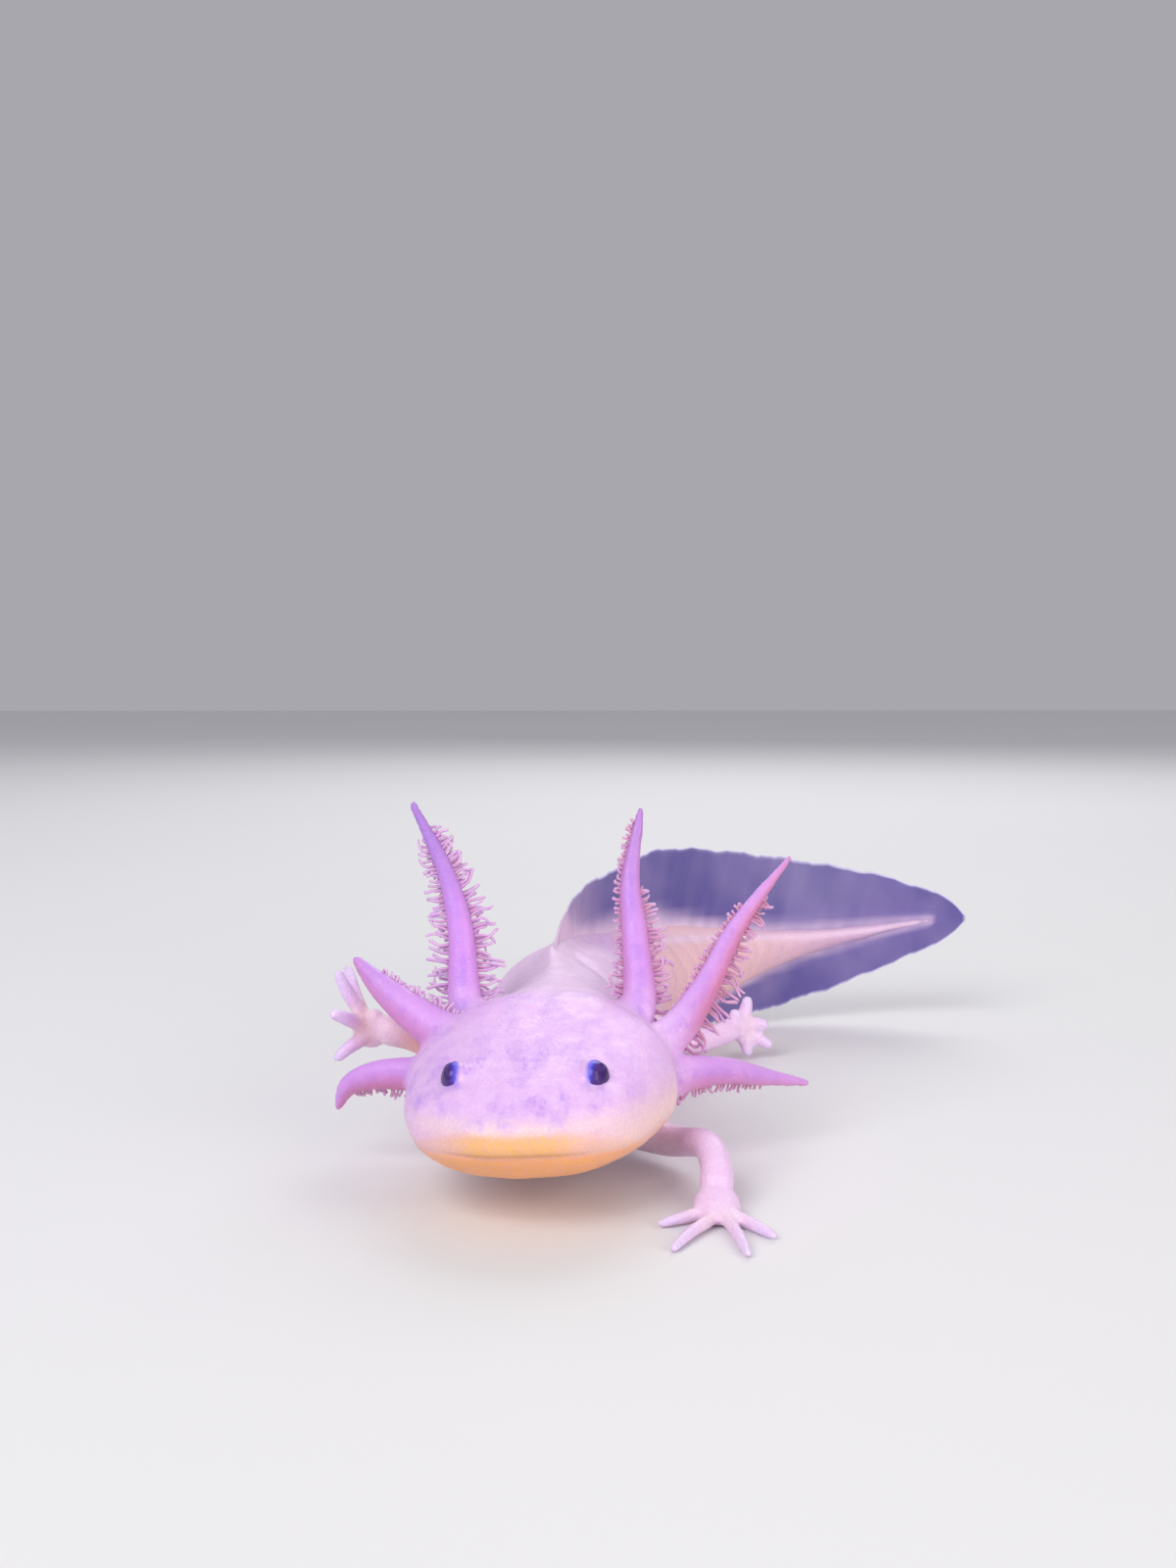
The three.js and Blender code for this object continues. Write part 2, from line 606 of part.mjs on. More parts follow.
/** A gill as one skin: its stalk, and along both edges the filaments as a thin toothed plate. */
function gill({ line, radii, fringe }) {
  const curve = new THREE.CatmullRomCurve3(line.map((p) => new THREE.Vector3(...p)));
  const radiusAt = smooth(
    radii.map((radius, i) => ({ at: i / (radii.length - 1), radius })),
    "radius",
  );
  const ring = (t, tooth) => {
    const share = THREE.MathUtils.clamp((t - COMB.from) / (COMB.to - COMB.from), 0, 1);
    const radius = radiusAt(t) * (t > 0.99 ? 0.5 : 1);
    const half = Math.min(COMB.thick / 2, radius / 2);
    const plate = COMB.behind * radius;
    const reach = ([base, tip]) => radius * 0.95 + THREE.MathUtils.lerp(base, tip, share) * tooth;
    const ahead = curve.getTangentAt(t);
    const right = new THREE.Vector3().crossVectors(ahead, BACKWARDS).normalize();
    const behind = new THREE.Vector3().crossVectors(right, ahead).normalize();
    const middle = curve.getPointAt(t);
    const point = (across, deep) =>
      middle.clone().addScaledVector(right, across).addScaledVector(behind, deep);
    const stalk = (angle) => {
      const turn = THREE.MathUtils.degToRad(angle);
      return point(Math.cos(turn) * radius, Math.sin(turn) * radius * GILL_DEPTH);
    };
    const [toRight, toLeft] = [reach(fringe.right), -reach(fringe.left)];
    return [
      ...[-90, -35].map(stalk),
      point(toRight, plate - half),
      point(toRight, plate + half),
      ...[60, 120].map(stalk),
      point(toLeft, plate + half),
      point(toLeft, plate - half),
      stalk(215),
    ];
  };
  const root = [0, COMB.from / 2].map((t) => ring(t, 0));
  const teeth = steps(COMB.from, COMB.to, COMB.teeth * 2).map((t, i) => ring(t, i % 2 ? 1 : COMB.valley));
  const end = [(1 + COMB.to) / 2, 0.985, 1].map((t) => ring(t, 0));
  return loft([...root, ...teeth, ...end]);
}

/** The room that a gill's stalk takes from the gills made after it. */
function stalkRoom({ line, radii }) {
  const grown = radii.map((radius) => radius + GAP);
  return tube(line, grown, { flat: BACKWARDS });
}

/** The six gills, each kept clear of the body and of the stalks made before it. */
function gills() {
  let taken = clearance;
  return GILLS.map((spec) => {
    const shape = largest(gill(spec).subtract(taken));
    taken = taken.add(stalkRoom(spec));
    return meshOf(spec.name, shape, GILL);
  });
}

// ---------------------------------------------------------------- the whole animal
const axolotl = new THREE.Group();
axolotl.add(...headPieces(), ...trunkAndTail(), ...fins(), ...LEGS.flatMap(leg), ...gills());

export default axolotl;
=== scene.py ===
# A young leucistic axolotl as a still, life-size model: one skin over head, trunk, tail and legs, with
# glassy eyes, a membrane of fin and the gills' filaments.
import math

import bpy
import numpy as np
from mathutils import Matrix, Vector, noise
from mathutils.kdtree import KDTree


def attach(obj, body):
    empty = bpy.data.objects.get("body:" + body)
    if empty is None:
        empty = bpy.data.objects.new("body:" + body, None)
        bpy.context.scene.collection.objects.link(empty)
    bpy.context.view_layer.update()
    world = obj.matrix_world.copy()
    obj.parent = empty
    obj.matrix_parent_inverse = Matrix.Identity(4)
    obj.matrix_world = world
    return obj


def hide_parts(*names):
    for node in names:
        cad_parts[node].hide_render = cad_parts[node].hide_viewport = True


bl_info = {
    "name": "Axolotl model",
    "version": (1, 0, 0),
    "blender": (4, 5, 0),
    "location": "View3D > Sidebar > Axolotl",
    "description": "Builds a life-size axolotl over its frame of solids",
    "category": "Object",
}

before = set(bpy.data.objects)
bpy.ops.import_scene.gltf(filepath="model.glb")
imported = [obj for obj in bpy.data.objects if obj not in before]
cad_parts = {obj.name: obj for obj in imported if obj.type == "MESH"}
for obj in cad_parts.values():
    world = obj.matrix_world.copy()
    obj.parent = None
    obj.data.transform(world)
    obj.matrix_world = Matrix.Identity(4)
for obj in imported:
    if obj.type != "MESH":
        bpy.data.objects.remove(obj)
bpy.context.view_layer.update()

# ---------------------------------------------------------------- the animal's measurements, in millimetres
MM = 0.001
LENGTH = 126.6  # snout to tail tip, along the spine
SPINE_POINTS = (
    (-5.3, -39.8),
    (-2.9, -23.1),
    (-0.9, -12),
    (-0.5, -2),
    (-0.2, 8),
    (1.9, 18.5),
    (8.4, 29.9),
    (19, 39.6),
    (31, 46),
    (44.2, 48.2),
    (58.2, 46),
)
# Distance along the spine, half width, and the heights of the back, the belly and the widest line.
BODY = (
    (0, 8.2, 10.3, 6.5, 9.3),
    (3, 9.2, 12.2, 5.0, 9.1),
    (6, 10.7, 13.6, 4.2, 9.0),
    (10, 12.3, 14.9, 3.7, 9.0),
    (14, 13.3, 16.2, 3.4, 9.2),
    (17.5, 13.7, 17.3, 3.1, 9.4),
    (20.5, 13.2, 18.0, 2.7, 9.5),
    (23.5, 11.5, 18.3, 2.2, 9.4),
    (27, 9.7, 18.1, 1.2, 9.0),
    (32, 9.1, 17.8, 0.1, 8.5),
    (40, 9.5, 17.9, -0.5, 8.3),
    (50, 9.5, 17.9, -0.5, 8.3),
    (58, 8.5, 17.2, -0.1, 8.3),
    (65, 7.2, 16.4, 0.6, 8.4),
    (72, 5.9, 15.8, 1.5, 8.6),
    (80, 4.5, 15.2, 2.6, 9.1),
    (88, 3.4, 14.5, 4.7, 10.1),
    (96, 2.5, 13.9, 7.6, 11.1),
    (104, 1.75, 13.7, 10.0, 12.0),
    (112, 1.15, 14.1, 12.1, 13.1),
    (120, 0.65, 15.2, 14.2, 14.7),
    (123.4, 0.36, 15.6, 14.9, 15.25),
)
CORE_END = BODY[-1][0]
SNOUT_ROUND = {"sides": 6.2, "above": 1.2, "below": 2.8}
HEAD_ROLL = math.radians(2.2)
HEAD_TO_TRUNK = (20, 34)  # between these distances the head's roll and its squarer section end
SECTION_POWER = {"head": 2.35, "eased": 0.25}  # 2 would be an ellipse; the trunk's is eased by that much
MOUTH_LINE = ((0, 7.75), (2, 7.6), (4, 7.43), (6, 7.34), (8, 7.32), (10, 7.42), (12, 7.75), (13.5, 7.3))
# The eye's place along the head and round its section, how far out of the head that is raised, how far the
# ball's middle lies behind it, and the ways in which the ball stands out and the eye looks: to its side,
# forwards and up.
EYE = {
    "at": 7.65, "angle": 56.2, "raise": 0.1, "depth": 0.5,
    "facing": (0.6, 0.55, 0.55), "looking": (0.85, 0.47, 0.24),
}
# How far the skin leaves each eye open, in degrees from the way it looks.
EYE_OPENING = {"inner": 70, "outer": 66, "above": 76, "below": 96}
# A painted blue highlight: the eye's inner side turns blue, then paler, by these angles from the way it
# looks.
EYE_HIGHLIGHT = {"from": 49, "full": 61, "pale": 75}
BROW = {"radius": 2.1, "depth": 1.6}
NOSTRIL = {"level": 10.3, "across": 3.1}
# The heights of the fin's free edges by the distance along the spine.
FIN_TOP = (
    (33, 18.1), (42, 19.6), (48, 22.3), (55, 23.3), (63, 24.4), (70, 25.4), (75, 26.6), (80, 27),
    (91, 25.7), (99, 24.4), (107, 23), (114, 21.6), (121, 19.6), (124.6, 17.9), (126.6, 15.7),
)
FIN_BOTTOM = (
    (73, 1.6), (80, 1.2), (88, 1.2), (95, 1.8), (101, 2.9), (108, 4.9), (114, 7.4), (120, 10.2),
    (124.6, 12.9), (126.6, 15.1),
)
# How far the fin's front leans to the animal's right, and between which distances it comes upright.
FIN_LEAN = {"across": 1.3, "from": 42.5, "to": 50.5}
FIN_FRONT = 34.0
FIN_UNDER = 74  # from here on the fin also runs under the tail
FIN_THICKEST = 0.85
# The grooves between the ribs and between the tail's muscles: where the first is and how far apart they are.
RIBS = {"first": 33.5, "pitch": 2.75}
MUSCLES = {"first": 66, "pitch": 2.6}
UP = np.array((0.0, 0.0, 1.0))
BACKWARDS = np.array((0.0, 1.0, 0.0))
ARM_LEFT = {
    "line": ((5.4, -14, 3.6), (10.4, -18.6, 2.9), (13.6, -26, 4.6), (14.2, -29.4, 3.6), (13.9, -32.4, 1.6)),
    "radii": (1.9, 1.6, 1.5, 1.55, 1.7),
    "palm": ((14, -31, 2.2), (13.8, -34.2, 1), (13.7, -36.4, 0.7)),
    "palm_radii": (1.9, 2.3, 1.9),
    "squash": 0.55,
    "digit": 0.55,
    "digits": (
        ((12, -34.6, 0.8), (10, -35.6, 0.7), (8, -36.4, 0.4)),
        ((12.8, -36.4, 0.8), (10.8, -39.2, 0.7), (8.9, -42.6, 0.4)),
        ((14.6, -36.8, 0.8), (15.2, -40.4, 0.7), (15.6, -44.2, 0.4)),
        ((15.3, -35.4, 0.8), (17, -37.6, 0.7), (18.6, -39.8, 0.4)),
    ),
    "flat": (0, 0, 1),
}
ARM_RIGHT = {
    "line": (
        (-4.5, -12, 6.6), (-9.6, -12, 8.6), (-13.6, -11.4, 10.9), (-17.4, -10.6, 12.5), (-20.6, -10.2, 12.8),
    ),
    "radii": (1.9, 1.85, 1.8, 1.8, 1.85),
    "palm": ((-19.2, -10.3, 12.7), (-21.6, -10, 13), (-23, -9.8, 14)),
    "palm_radii": (1.9, 2.4, 2.1),
    "squash": 0.5,
    "digit": 0.7,
    "digits": (
        ((-22.8, -9.8, 15), (-24.1, -9.8, 17.1), (-25.1, -9.8, 19.3)),
        ((-22.6, -8.8, 14.6), (-23.8, -6.2, 16.6), (-24.7, -3.8, 18.5)),
        ((-22.8, -11.2, 13.7), (-24, -13.2, 14.8), (-25, -15, 15.6)),
        ((-22.2, -10.8, 12), (-23.8, -11.6, 10.9), (-25.1, -12.2, 9.8)),
    ),
    "flat": (0.25, 1, 0),
}
LEG_LEFT = {
    "line": ((6.4, 22.8, 6), (12, 19.8, 4.9), (16.2, 20.8, 3.6), (19.8, 23.2, 3.8), (22.4, 25.3, 4.3)),
    "radii": (2.3, 2.2, 1.75, 1.5, 1.6),
    "palm": ((21.6, 24.6, 4.2), (23.2, 25.6, 4.3), (24.4, 26, 4)),
    "palm_radii": (1.6, 2.5, 2.1),
    "squash": 0.55,
    "digit": 0.8,
    "digits": (
        ((22.8, 25.2, 5.2), (22.3, 24.7, 6.1), (21.8, 24.2, 6.9)),
        ((23.5, 25.8, 5.4), (23.9, 26, 6.9), (24.1, 26, 8.5)),
        ((24.4, 26, 4.6), (25.7, 26.1, 4.6), (27, 26.1, 4.4)),
        ((24.3, 26, 3.4), (25.9, 26, 2.4), (27.5, 26, 1.6)),
        ((23.6, 25.7, 3.2), (23.9, 25.5, 1.8), (24.2, 25.2, 0.42)),
    ),
    "flat": (-0.3, 1, 0),
}
LEG_RIGHT = {
    "line": ((1.2, 26.2, 6.4), (-4.4, 27, 6.6), (-8, 25, 5.6), (-9.9, 22, 3.4), (-10.8, 19.8, 1.5)),
    "radii": (2.3, 2.1, 1.75, 1.5, 1.6),
    "palm": ((-10.4, 20.8, 2), (-11.2, 18.8, 0.95), (-11.6, 17.2, 0.7)),
    "palm_radii": (1.6, 2.3, 1.9),
    "squash": 0.5,
    "digit": 0.6,
    "digits": (
        ((-12.4, 19, 0.8), (-14.4, 19.4, 0.7), (-16.2, 19.6, 0.42)),
        ((-12.6, 18.2, 0.8), (-14.8, 17.2, 0.7), (-16.9, 16.2, 0.42)),
        ((-12.2, 17.4, 0.8), (-13.6, 15.4, 0.7), (-15.1, 13.2, 0.42)),
        ((-11.5, 17.1, 0.8), (-11.8, 14.9, 0.7), (-12.1, 12.4, 0.42)),
        ((-10.6, 17.7, 0.8), (-9.6, 16, 0.7), (-8.9, 14.2, 0.42)),
    ),
    "flat": (0, 0, 1),
}
LEGS = (ARM_LEFT, ARM_RIGHT, LEG_LEFT, LEG_RIGHT)
# Each gill's line runs from inside the head to its tip. The fringe is the filaments' length near the base,
# at the middle and further out, and the share of the stalk where they end, on each side of the stalk as seen
# from behind with its tip up. The look is how strong the stalk's tint, its darker tip and its red side are,
# which side that is (1 the right, -1 the left, 0 both), and how red the filaments are.
GILLS = {
    "right_upper": {
        "line": (
            (-8.6, -18, 12), (-10.8, -14.2, 16.2), (-11.6, -11.4, 24.4), (-13.2, -9.6, 29.8), (-17, -8, 37.4),
        ),
        "radii": (1.75, 1.6, 1.38, 0.92, 0.42),
        "fringe": {"left": (3.1, 2.6, 1.3, 0.86), "right": (2.5, 2.3, 1.4, 0.82)},
        "look": {"tint": 1.0, "dusk": 0.9, "red": 0.15, "side": 0, "rose": 0.1},
    },
    "right_middle": {
        "line": (
            (-8.6, -20.6, 12.2), (-14, -17.6, 14.6), (-18.2, -15.4, 17.2), (-20.8, -13.8, 19.2),
            (-22.9, -12.4, 21.2),
        ),
        "radii": (2.2, 2.2, 1.95, 1.4, 0.45),
        "fringe": {"left": (1.5, 1.1, 0.7, 0.8), "right": (0.2, 0.2, 0.2, 0.6)},
        "look": {"tint": 0.8, "dusk": 0.35, "red": 0.6, "side": 1, "rose": 0.25},
    },
    "right_lower": {
        "line": (
            (-9.8, -20.8, 9.2), (-16, -19.4, 10.2), (-20.4, -18, 9.7), (-22.9, -16.9, 8.4), (-24.5, -15, 5.3),
        ),
        "radii": (1.95, 1.8, 1.65, 1.2, 0.4),
        "fringe": {"left": (0.2, 0.2, 0.2, 0.7), "right": (1.4, 1.2, 0.7, 0.8)},
        "look": {"tint": 0.9, "dusk": 0.0, "red": 0.9, "side": 1, "rose": 0.8},
    },
    "left_upper": {
        "line": (
            (5.4, -18.6, 12.4), (7.4, -14.8, 16.4), (7.2, -10.8, 23.4), (6.8, -8.6, 28.6), (8.1, -6.4, 36.6),
        ),
        "radii": (1.8, 1.62, 1.48, 1.0, 0.4),
        "fringe": {"left": (2.6, 2.1, 1.0, 0.66), "right": (2.5, 1.1, 0.7, 0.93)},
        "look": {"tint": 0.9, "dusk": 0.65, "red": 0.5, "side": 0, "rose": 0.7},
    },
    "left_middle": {
        "line": (
            (6.6, -20.6, 12), (11.2, -17.2, 14.1), (14.9, -13.4, 18.4), (18.3, -9.8, 23.7), (24.9, -5.2, 31),
        ),
        "radii": (1.9, 1.65, 1.3, 0.85, 0.38),
        "fringe": {"left": (2.9, 2.5, 1.4, 0.8), "right": (0.4, 0.9, 0.7, 0.72)},
        "look": {"tint": 0.7, "dusk": 0.0, "red": 1.0, "side": -1, "rose": 0.9},
    },
    "left_lower": {
        "line": (
            (6.2, -21.6, 8.6), (11.6, -19.4, 10), (16, -16.4, 9.6), (20.6, -12.6, 8), (26.8, -7.6, 5.8),
        ),
        "radii": (2.1, 1.75, 1.45, 0.95, 0.4),
        "fringe": {"left": (1.7, 1.3, 0.7, 0.7), "right": (0.2, 0.2, 0.2, 0.8)},
        "look": {"tint": 0.8, "dusk": 0.0, "red": 0.72, "side": -1, "rose": 0.9},
    },
}
GILL_DEPTH = 0.8  # a stalk's thickness from front to back, as a share of its width
DIGIT_THICK = (1.2, 1.1, 1, 0.72)  # from the knuckle to the tip, as shares of the digit's radius
DIGIT_GROWTH = 1.08  # makes up for what the skin's smoothing takes off a digit
# A filament's width at each share of its length, as a share of the width of its middle.
FILAMENT_ALONG = (0, 0.12, 0.28, 0.44, 0.6, 0.75, 0.88, 0.97, 1)
FILAMENT_WIDE = (1.3, 1.1, 1, 1, 1, 1.04, 1.08, 0.86, 0.36)
FILAMENT_SIDES = 6
FRINGE_START = 0.19  # the share of the stalk where its filaments begin
SHORTEST = 0.25  # no filament is shorter than this
ROW_TURNS = (0.15, 0.75)  # how far each row of filaments is turned to the rear, in radians
PATCH = 0.003  # the side of each filament's patch on the unwrap

FLESH = (
    "head", "jaw", "neck", "trunk_front", "trunk_rear", "tail_base", "tail_middle", "tail_tip",
    "upper_arm_left", "forearm_left", "hand_left", "upper_arm_right", "forearm_right", "hand_right",
    "thigh_left", "shin_left", "foot_left", "thigh_right", "shin_right", "foot_right",
)
FINS = (
    "dorsal_fin", "tail_fin_upper_front", "tail_fin_upper_rear",
    "tail_fin_lower_front", "tail_fin_lower_rear",
)


# ---------------------------------------------------------------- curves and sections
def unit(v):
    return v / np.maximum(np.linalg.norm(v, axis=-1, keepdims=True), 1e-9)


def fade(x, low, high):
    """0 below low and 1 above high, smoothly; the other way round where low is above high."""
    t = np.clip((np.asarray(x, float) - low) / (high - low), 0, 1)
    return t * t * (3 - 2 * t)


def hump(x, middle, width):
    """1 at the middle, falling off smoothly on both sides."""
    return np.exp(-(((np.asarray(x, float) - middle) / width) ** 2))


class Curve:
    """A smooth line through points, walked from 0 to 1 by its length."""

    def __init__(self, points, count=600):
        p = np.array(points, float)
        if p.shape[1] == 2:
            p = np.c_[p, np.zeros(len(p))]
        p = np.vstack([2 * p[0] - p[1], p, 2 * p[-1] - p[-2]])
        t = np.linspace(0, len(p) - 3, count + 1)
        i = np.minimum(t.astype(int), len(p) - 4)
        w = (t - i)[:, None]
        a, b, c, d = p[i], p[i + 1], p[i + 2], p[i + 3]
        g0, g1, g2 = (np.linalg.norm(step, axis=1, keepdims=True) ** 0.5 for step in (b - a, c - b, d - c))
        m1 = ((b - a) / g0 - (c - a) / (g0 + g1) + (c - b) / g1) * g1
        m2 = ((c - b) / g1 - (d - b) / (g1 + g2) + (d - c) / g2) * g1
        self.points = b + m1 * w + (3 * (c - b) - 2 * m1 - m2) * w**2 + (2 * (b - c) + m1 + m2) * w**3
        walked = np.r_[0, np.cumsum(np.linalg.norm(np.diff(self.points, axis=0), axis=1))]
        self.length = walked[-1]
        self.share = walked / walked[-1]

    def at(self, u):
        u = np.asarray(u, float)
        return np.stack([np.interp(u, self.share, self.points[:, k]) for k in range(3)], -1)

    def ahead(self, u, step=0.004):
        u = np.asarray(u, float)
        return unit(self.at(np.minimum(u + step, 1)) - self.at(np.maximum(u - step, 0)))


def smooth(table, column=1):
    """A smooth function through a table's rows, whose first column is the distance."""
    ats = np.array([row[0] for row in table], float)
    values = np.array([row[column] for row in table], float)
    slopes = np.empty(len(ats))
    slopes[1:-1] = (values[2:] - values[:-2]) / (ats[2:] - ats[:-2])
    slopes[0] = (values[1] - values[0]) / (ats[1] - ats[0])
    slopes[-1] = (values[-1] - values[-2]) / (ats[-1] - ats[-2])

    def value(at):
        i = np.clip(np.searchsorted(ats, at, side="right") - 1, 0, len(ats) - 2)
        width = ats[i + 1] - ats[i]
        t = np.clip((at - ats[i]) / width, 0, 1)
        return (
            (2 * t**3 - 3 * t**2 + 1) * values[i]
            + (t**3 - 2 * t**2 + t) * slopes[i] * width
            + (3 * t**2 - 2 * t**3) * values[i + 1]
            + (t**3 - t**2) * slopes[i + 1] * width
        )

    return value


SPINE = Curve(SPINE_POINTS)
half, top, bottom, wide = (smooth(BODY, column) for column in (1, 2, 3, 4))
fin_top, fin_bottom, mouth_line = smooth(FIN_TOP), smooth(FIN_BOTTOM), smooth(MOUTH_LINE)


def rounding(at, reach):
    """The share of the full size at a distance from a round end that is reach long."""
    return np.sqrt(1 - (1 - np.clip(at / reach, 0, 1)) ** 2)


def station(at):
    """The spine's point, direction and left-hand side at a distance from the snout."""
    u = np.clip(np.asarray(at, float) / LENGTH, 0, 1)
    ahead = SPINE.ahead(u)
    return SPINE.at(u), ahead, np.stack([ahead[..., 1], -ahead[..., 0], np.zeros_like(ahead[..., 0])], -1)


def surface(at, angle, extra=0.0):
    """Points of the body's surface, angle degrees up from its left side, grown outwards by extra."""
    at, angle = np.broadcast_arrays(np.asarray(at, float), np.radians(angle))
    point, _, side = station(at)
    c, s = np.cos(angle), np.sin(angle)
    heart = wide(at)
    profile = np.where(s > 0, rounding(at, SNOUT_ROUND["above"]), rounding(at, SNOUT_ROUND["below"]))
    reach = np.where(s > 0, top(at) - heart, heart - bottom(at)) * profile + extra
    behind_head = fade(at, *HEAD_TO_TRUNK)
    power = 2 / (SECTION_POWER["head"] - SECTION_POWER["eased"] * behind_head)
    across = (half(at) * rounding(at, SNOUT_ROUND["sides"]) + extra) * np.sign(c) * np.abs(c) ** power
    upward = reach * np.sign(s) * np.abs(s) ** power
    roll = HEAD_ROLL * (1 - behind_head)
    turned = across * np.cos(roll) - upward * np.sin(roll)
    raised = across * np.sin(roll) + upward * np.cos(roll)
    spot = point + side * turned[..., None]
    spot[..., 2] = heart + raised
    return spot


def fin_lean(at):
    """How far the fin stands to the animal's right of the spine."""
    return FIN_LEAN["across"] * (1 - fade(at, FIN_LEAN["from"], FIN_LEAN["to"]))


def eye_place(side):
    """The eyeball's middle, the way it stands out and the way it looks, on side 1 (left) or -1 (right)."""
    rim = surface(EYE["at"], EYE["angle"] if side > 0 else 180 - EYE["angle"], EYE["raise"])
    _, ahead, left = station(EYE["at"])
    facing, looking = (
        unit(left * out * side - ahead * forwards + UP * up)
        for out, forwards, up in (EYE["facing"], EYE["looking"])
    )
    return rim - facing * EYE["depth"], facing, looking


def opening(way, side, looking):
    """How far the eye's opening reaches from the way it looks, in degrees, in the direction of each way."""
    tall = unit(UP - looking * (UP @ looking))
    inner = np.cross(looking, tall) * side
    up, inwards = way @ tall, way @ inner
    size = np.maximum(np.hypot(up, inwards), 1e-9)
    up, inwards = up / size, inwards / size
    high = np.where(up > 0, EYE_OPENING["above"], EYE_OPENING["below"])
    broad = np.where(inwards > 0, EYE_OPENING["inner"], EYE_OPENING["outer"])
    return high * up**2 + broad * inwards**2


def round_eye(spots, side):
    """From an eyeball's middle to each point: the way, how far, its angle from the look and the opening's."""
    middle, _, looking = eye_place(side)
    offset = spots - middle
    way = unit(offset)
    turn = np.degrees(np.arccos(np.clip(way @ looking, -1, 1)))
    return way, np.linalg.norm(offset, axis=1), turn, opening(way, side, looking)


def inward(side):
    """Across the eye towards the middle of the head and a little up."""
    _, _, looking = eye_place(side)
    _, _, left = station(EYE["at"])
    way = UP * 0.55 - left * side
    return unit(way - looking * (way @ looking))


# ---------------------------------------------------------------- modelling helpers
def deselect():
    if bpy.context.object and bpy.context.object.mode != "OBJECT":
        bpy.ops.object.mode_set(mode="OBJECT")
    bpy.ops.object.select_all(action="DESELECT")


def only(piece):
    """Select this piece alone and make it the active one."""
    deselect()
    piece.select_set(True)
    bpy.context.view_layer.objects.active = piece


def points_of(piece):
    """The piece's points, in millimetres."""
    spots = np.empty(len(piece.data.vertices) * 3)
    piece.data.vertices.foreach_get("co", spots)
    return spots.reshape(-1, 3) / MM


def place(piece, spots):
    """Put the piece's points at these spots, in millimetres."""
    piece.data.vertices.foreach_set("co", (np.asarray(spots) * MM).ravel())
    piece.data.update()


def normals_of(piece):
    ways = np.empty(len(piece.data.vertices) * 3)
    piece.data.vertex_normals.foreach_get("vector", ways)
    return ways.reshape(-1, 3)


def edges_of(piece):
    pairs = np.empty(len(piece.data.edges) * 2, int)
    piece.data.edges.foreach_get("vertices", pairs)
    return pairs.reshape(-1, 2)


def nearest(known, spots):
    """Which of the known points lies nearest to each spot."""
    tree = KDTree(len(known))
    for i, spot in enumerate(known):
        tree.insert(spot, i)
    tree.balance()
    return [tree.find(spot)[1] for spot in spots]


def spread(values, pairs, times):
    """Values at the points, evened out with their neighbours'."""
    values = np.array(values, float)
    count = np.bincount(pairs.ravel(), minlength=len(values)) + 1.0
    for _ in range(times):
        total = values.copy()
        np.add.at(total, pairs[:, 0], values[pairs[:, 1]])
        np.add.at(total, pairs[:, 1], values[pairs[:, 0]])
        values = total / (count if values.ndim == 1 else count[:, None])
    return values


def paint(piece, name, values):
    """Keep a value of every point on the piece, for its material to read."""
    layer = piece.data.attributes.new(name, "FLOAT", "POINT")
    layer.data.foreach_set("value", np.clip(np.asarray(values, np.float32), 0, 1))


def wrap(name, rings):
    """A closed tube: a grid wrapped round rings of points, its seam merged and its ends filled."""
    rings = np.asarray(rings)
    rows, around = rings.shape[:2]
    deselect()
    bpy.ops.mesh.primitive_grid_add(x_subdivisions=around, y_subdivisions=rows - 1, size=MM)
    piece = bpy.context.object
    piece.name = name
    place(piece, np.concatenate([rings, rings[:, :1]], axis=1).reshape(-1, 3))
    bpy.ops.object.mode_set(mode="EDIT")
    bpy.ops.mesh.select_all(action="SELECT")
    bpy.ops.mesh.remove_doubles(threshold=1e-7)
    bpy.ops.mesh.fill_holes(sides=0)
    bpy.ops.mesh.select_all(action="SELECT")
    bpy.ops.mesh.normals_make_consistent(inside=False)
    bpy.ops.object.mode_set(mode="OBJECT")
    return piece


def join(name, pieces):
    only(pieces[0])
    for piece in pieces[1:]:
        piece.select_set(True)
    bpy.ops.object.join()
    whole = bpy.context.object
    whole.name = name
    whole.data.name = name
    return whole


def finish_with(piece, kind, **settings):
    """Add a modifier with its settings and apply it."""
    only(piece)
    modifier = piece.modifiers.new(kind.title(), kind)
    for key, value in settings.items():
        setattr(modifier, key, value)
    bpy.ops.object.modifier_apply(modifier=modifier.name)


def refine(piece, chosen, cuts):
    """Divide the faces whose points are all chosen into smaller ones."""
    starts = np.empty(len(piece.data.polygons), int)
    corners = np.empty(len(piece.data.loops), int)
    piece.data.polygons.foreach_get("loop_start", starts)
    piece.data.loops.foreach_get("vertex_index", corners)
    faces = np.minimum.reduceat(chosen[corners].astype(np.int8), starts).astype(bool)
    only(piece)
    bpy.context.tool_settings.mesh_select_mode = (False, False, True)
    for old in (piece.data.vertices, piece.data.edges):
        old.foreach_set("select", np.zeros(len(old), bool))
    piece.data.polygons.foreach_set("select", faces)
    bpy.ops.object.mode_set(mode="EDIT")
    bpy.ops.mesh.subdivide(number_cuts=cuts)
    bpy.ops.mesh.vertices_smooth(factor=0.5, repeat=3)
    bpy.context.tool_settings.mesh_select_mode = (True, False, False)
    bpy.ops.object.mode_set(mode="OBJECT")


def even_out(piece, chosen, times):
    """Smooth the chosen points only."""
    only(piece)
    piece.data.vertices.foreach_set("select", chosen)
    bpy.ops.object.mode_set(mode="EDIT")
    bpy.ops.mesh.vertices_smooth(factor=0.5, repeat=times)
    bpy.ops.object.mode_set(mode="OBJECT")


def shade_smooth(piece):
    only(piece)
    bpy.ops.object.shade_smooth()


